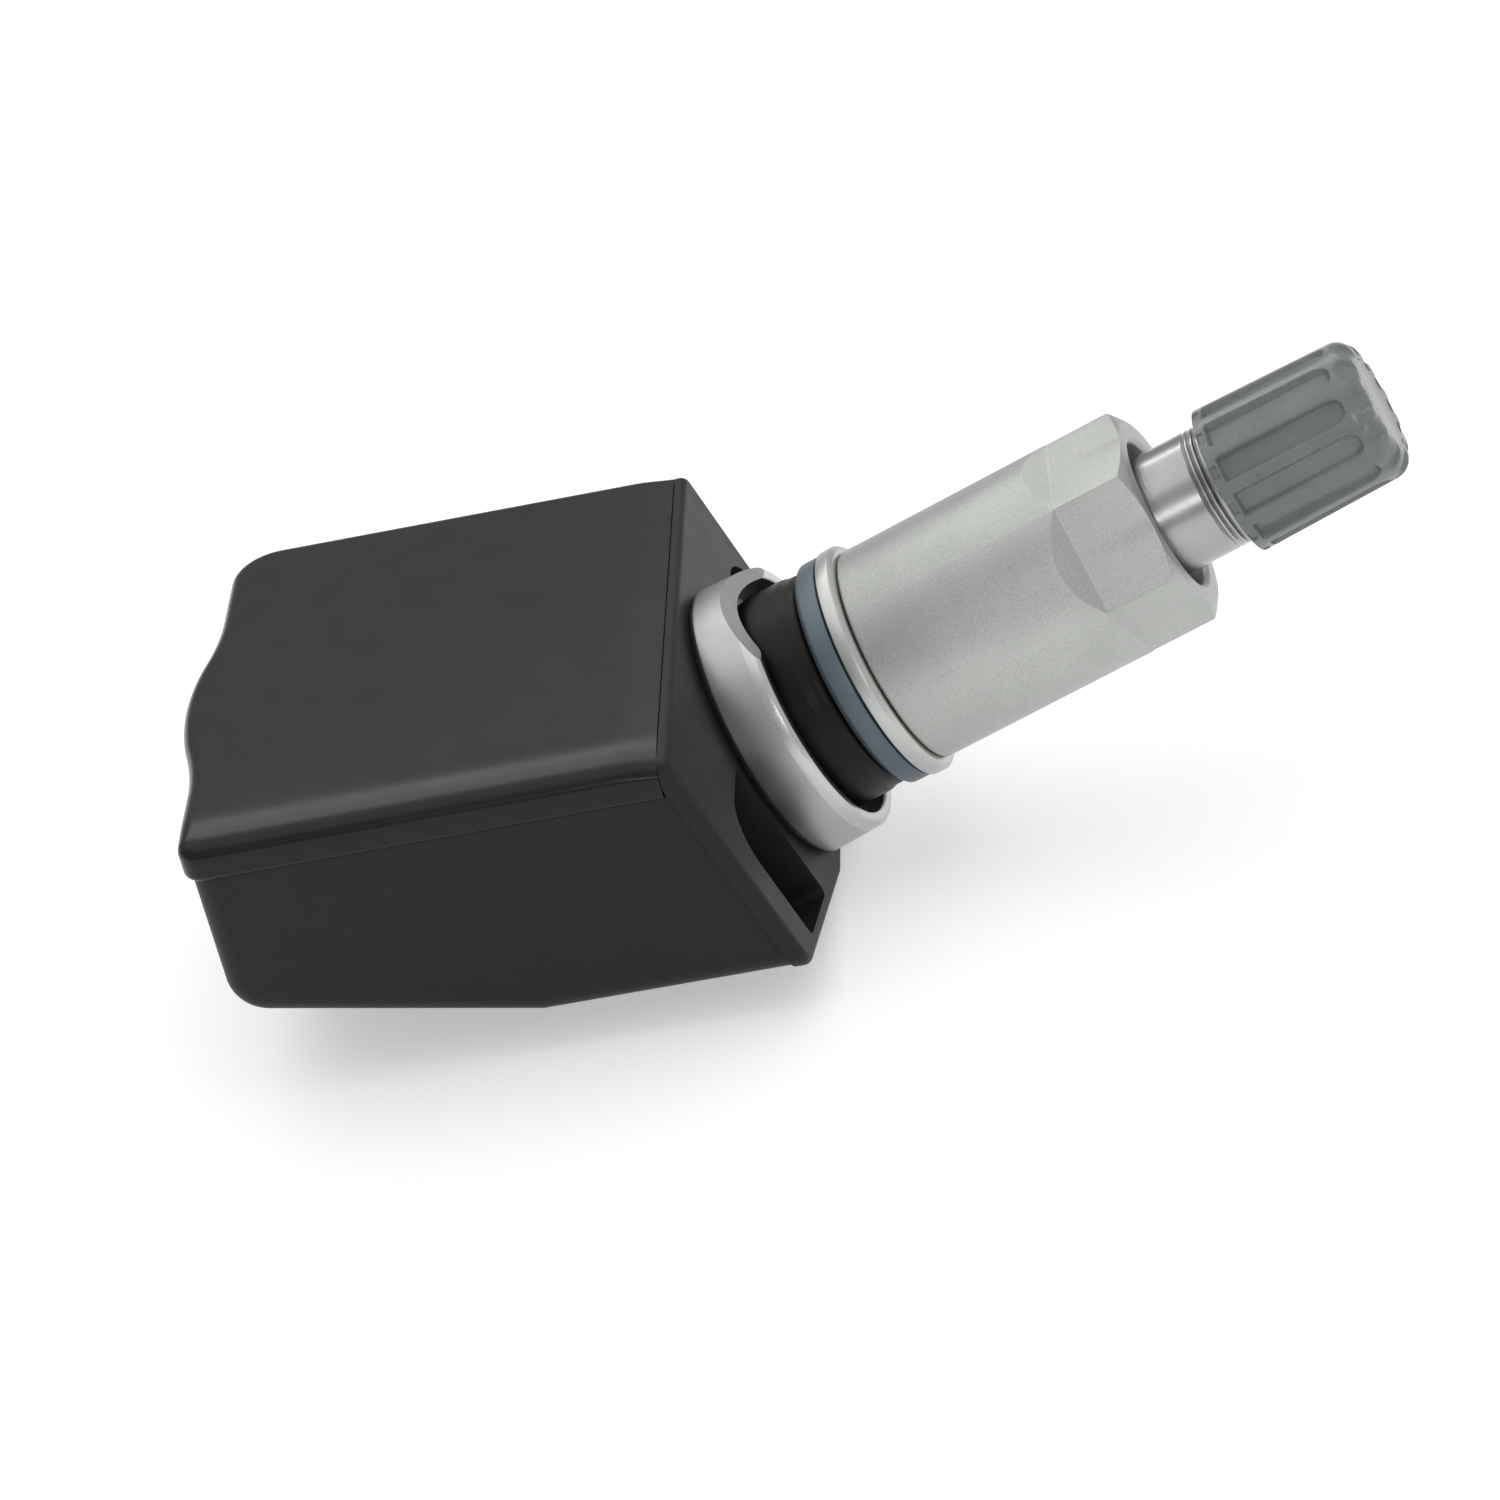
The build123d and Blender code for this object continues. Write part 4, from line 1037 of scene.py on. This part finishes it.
# Columns over half a flute, in degrees from its middle, close together on its wall
half_flute = [0, 1.4, 2, 2.6, 3.2, 3.8, 4.4, 4.7, 5.0, 5.3, 6, 6.6, 7.2, 7.6]
half_flute += [8 + 0.4 * i for i in range(9)]
half_flute += [11.8, 12.6, 13.8]
rib_middle = 180 / CAP_RIBS
degrees = [-angle for angle in reversed(half_flute[1:])] + half_flute + [rib_middle]
columns, turns = [], []
cap_end = CAP_START + CAP_LENGTH
cap_ceiling = cap_end - CAP_ROOF + FACE_GAP
for rib in range(CAP_RIBS):
    for angle in degrees:
        offset = math.radians(angle)
        outline = [
            (CAP_START, CAP_BORE_RADIUS + CAP_BORE_CHAMFER),
            (CAP_START, CAP_MOUTH_RADIUS - CAP_MOUTH_CHAMFER),
        ]
        outline += [(CAP_START + u, cap_radius(u, offset)) for u in rows[1:]]
        outline += [
            (cap_end - CAP_DIMPLE_RIM_DEPTH, CAP_DIMPLE_RIM_RADIUS),
            (cap_end - CAP_DIMPLE_EDGE_DEPTH, CAP_DIMPLE_RADIUS),
            (cap_end - CAP_DIMPLE_DEPTH, CAP_CENTRE_RADIUS),
            (cap_ceiling, CAP_CENTRE_RADIUS),
            (cap_ceiling, CAP_BORE_RADIUS),
            (CAP_START + CAP_BORE_CHAMFER, CAP_BORE_RADIUS),
        ]
        columns.append(outline)
        turns.append(FLUTE_TURN + 2 * math.pi * rib / CAP_RIBS + offset)
cap = skin("cap_look", columns, turns)
dress(cap, smoke)

# Each piece's body, the CAD node that it replaces and its slot
for piece, body, replaced, slot in (
    (lid_look, "sensor", "lid", "lid_plastic"),
    (stem, "sensor", "valve_stem", "valve_aluminium"),
    (thread, "sensor", None, "valve_aluminium"),
    (grommet, "sensor", "grommet", "grommet_rubber"),
    (spacer, "sensor", "spacer_ring", "blue_ring"),
    (washer, "washer", "washer", "washer_aluminium"),
    (nut, "nut", "sleeve_nut", "nut_aluminium"),
    (cap, "cap", "cap", "cap_plastic"),
):
    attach(piece, body)
    if replaced:
        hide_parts(replaced)

# Light
scene.view_settings.view_transform = "Standard"


def area_lamp(name, place, target, size, power):
    """A rectangular lamp that faces its target, in metres and watts."""
    data = bpy.data.lights.new(name, "AREA")
    data.shape = "RECTANGLE"
    data.size, data.size_y = size
    data.energy = power
    lamp = bpy.data.objects.new(name, data)
    scene.collection.objects.link(lamp)
    lamp.location = place
    lamp.rotation_euler = (Vector(target) - Vector(place)).to_track_quat("-Z", "Y").to_euler()


area_lamp("top_lamp", place=(-0.1, 0.12, 0.5), target=(0, 0, 0.01), size=(0.8, 0.7), power=1.15)

# The strip draws the bright line along the lid's near edge
area_lamp(
    "strip_lamp", place=(-0.1, 0.44, 0.41), target=(-0.01, 0, 0.01), size=(0.6, 0.045), power=0.36
)
area_lamp(
    "front_lamp", place=(0.02, -0.5, 0.26), target=(0.01, 0, 0.01), size=(0.15, 0.12), power=0.24
)

# World: a soft glow that grows with height and to the valve's side, and white where it is seen
GLOW_LOW = 0.36
GLOW_HIGH = 0.6
GLOW_LOW_HEIGHT = 0.05
GLOW_HIGH_HEIGHT = 0.8
GLOW_TO_VALVE = 0.24
world = bpy.data.worlds.new("studio")
scene.world = world
world.use_nodes = True
sky = world.node_tree
sky.nodes.clear()
path = node(sky, "ShaderNodeLightPath")
direction = node(sky, "ShaderNodeTexCoord").outputs["Generated"]
ways = node(sky, "ShaderNodeSeparateXYZ", {"Vector": direction}).outputs
glow = spread(sky, ways["Z"], GLOW_LOW, GLOW_HIGH, start=GLOW_LOW_HEIGHT, end=GLOW_HIGH_HEIGHT)
to_valve_side = maths(sky, "MAXIMUM", ways["X"], 0.0)
glow = maths(sky, "MULTIPLY_ADD", to_valve_side, GLOW_TO_VALVE, glow)
soft = node(sky, "ShaderNodeBackground", {"Color": (1, 1, 1, 1), "Strength": glow})
white = node(sky, "ShaderNodeBackground", {"Color": (1, 1, 1, 1), "Strength": 1.0})
seen = maths(sky, "MAXIMUM", path.outputs["Is Camera Ray"], path.outputs["Is Transmission Ray"])
choice = node(sky, "ShaderNodeMixShader", {0: seen, 1: soft.outputs[0], 2: white.outputs[0]})
node(sky, "ShaderNodeOutputWorld", {"Surface": choice.outputs[0]})

# Floor: a pale matt sheet, lifted to white where it is seen, so that it keeps the shadow
FLOOR_HALF = 2.0
FLOOR_Z = -0.00002
FLOOR_TONE = (0.82, 0.82, 0.82, 1)
FLOOR_LIFT = 0.4
bm = bmesh.new()
corners = [(-1, -1), (1, -1), (1, 1), (-1, 1)]
bm.faces.new([bm.verts.new((x * FLOOR_HALF, y * FLOOR_HALF, FLOOR_Z)) for x, y in corners])
floor = new_piece("floor", bm)
floor_paint = bpy.data.materials.new("floor_paint")
floor_paint.use_nodes = True
tree = floor_paint.node_tree
tree.nodes.clear()
path = node(tree, "ShaderNodeLightPath")
matt = node(tree, "ShaderNodeBsdfDiffuse", {"Color": FLOOR_TONE})
lift = node(tree, "ShaderNodeEmission", {"Color": (1, 1, 1, 1), "Strength": FLOOR_LIFT})
seen = maths(tree, "MAXIMUM", path.outputs["Is Camera Ray"], path.outputs["Is Glossy Ray"])
seen = maths(tree, "MAXIMUM", seen, path.outputs["Is Transmission Ray"])
both = node(tree, "ShaderNodeAddShader", {0: matt.outputs[0], 1: lift.outputs[0]})
choice = node(tree, "ShaderNodeMixShader", {0: seen, 1: matt.outputs[0], 2: both.outputs[0]})
node(tree, "ShaderNodeOutputMaterial", {"Surface": choice.outputs[0]})
dress(floor, floor_paint)

# Camera, where the outlines in the photo put it, with its own axes as the turn's columns
CAMERA_PLACE = Vector((43.69, -278.88, 170.40)) * MM
CAMERA_TURN = Matrix(
    (
        (0.976, 0.1759, 0.128),
        (0.0193, 0.5161, -0.8563),
        (-0.2167, 0.8383, 0.5004),
    )
)
CAMERA_LENS = 126.9
SENSOR_WIDTH = 36
eye = bpy.data.cameras.new("camera")
eye.sensor_width = SENSOR_WIDTH
eye.lens = CAMERA_LENS
eye.clip_start = 0.01
camera = bpy.data.objects.new("camera", eye)
scene.collection.objects.link(camera)
camera.matrix_world = Matrix.Translation(CAMERA_PLACE) @ CAMERA_TURN.to_4x4()
scene.camera = camera
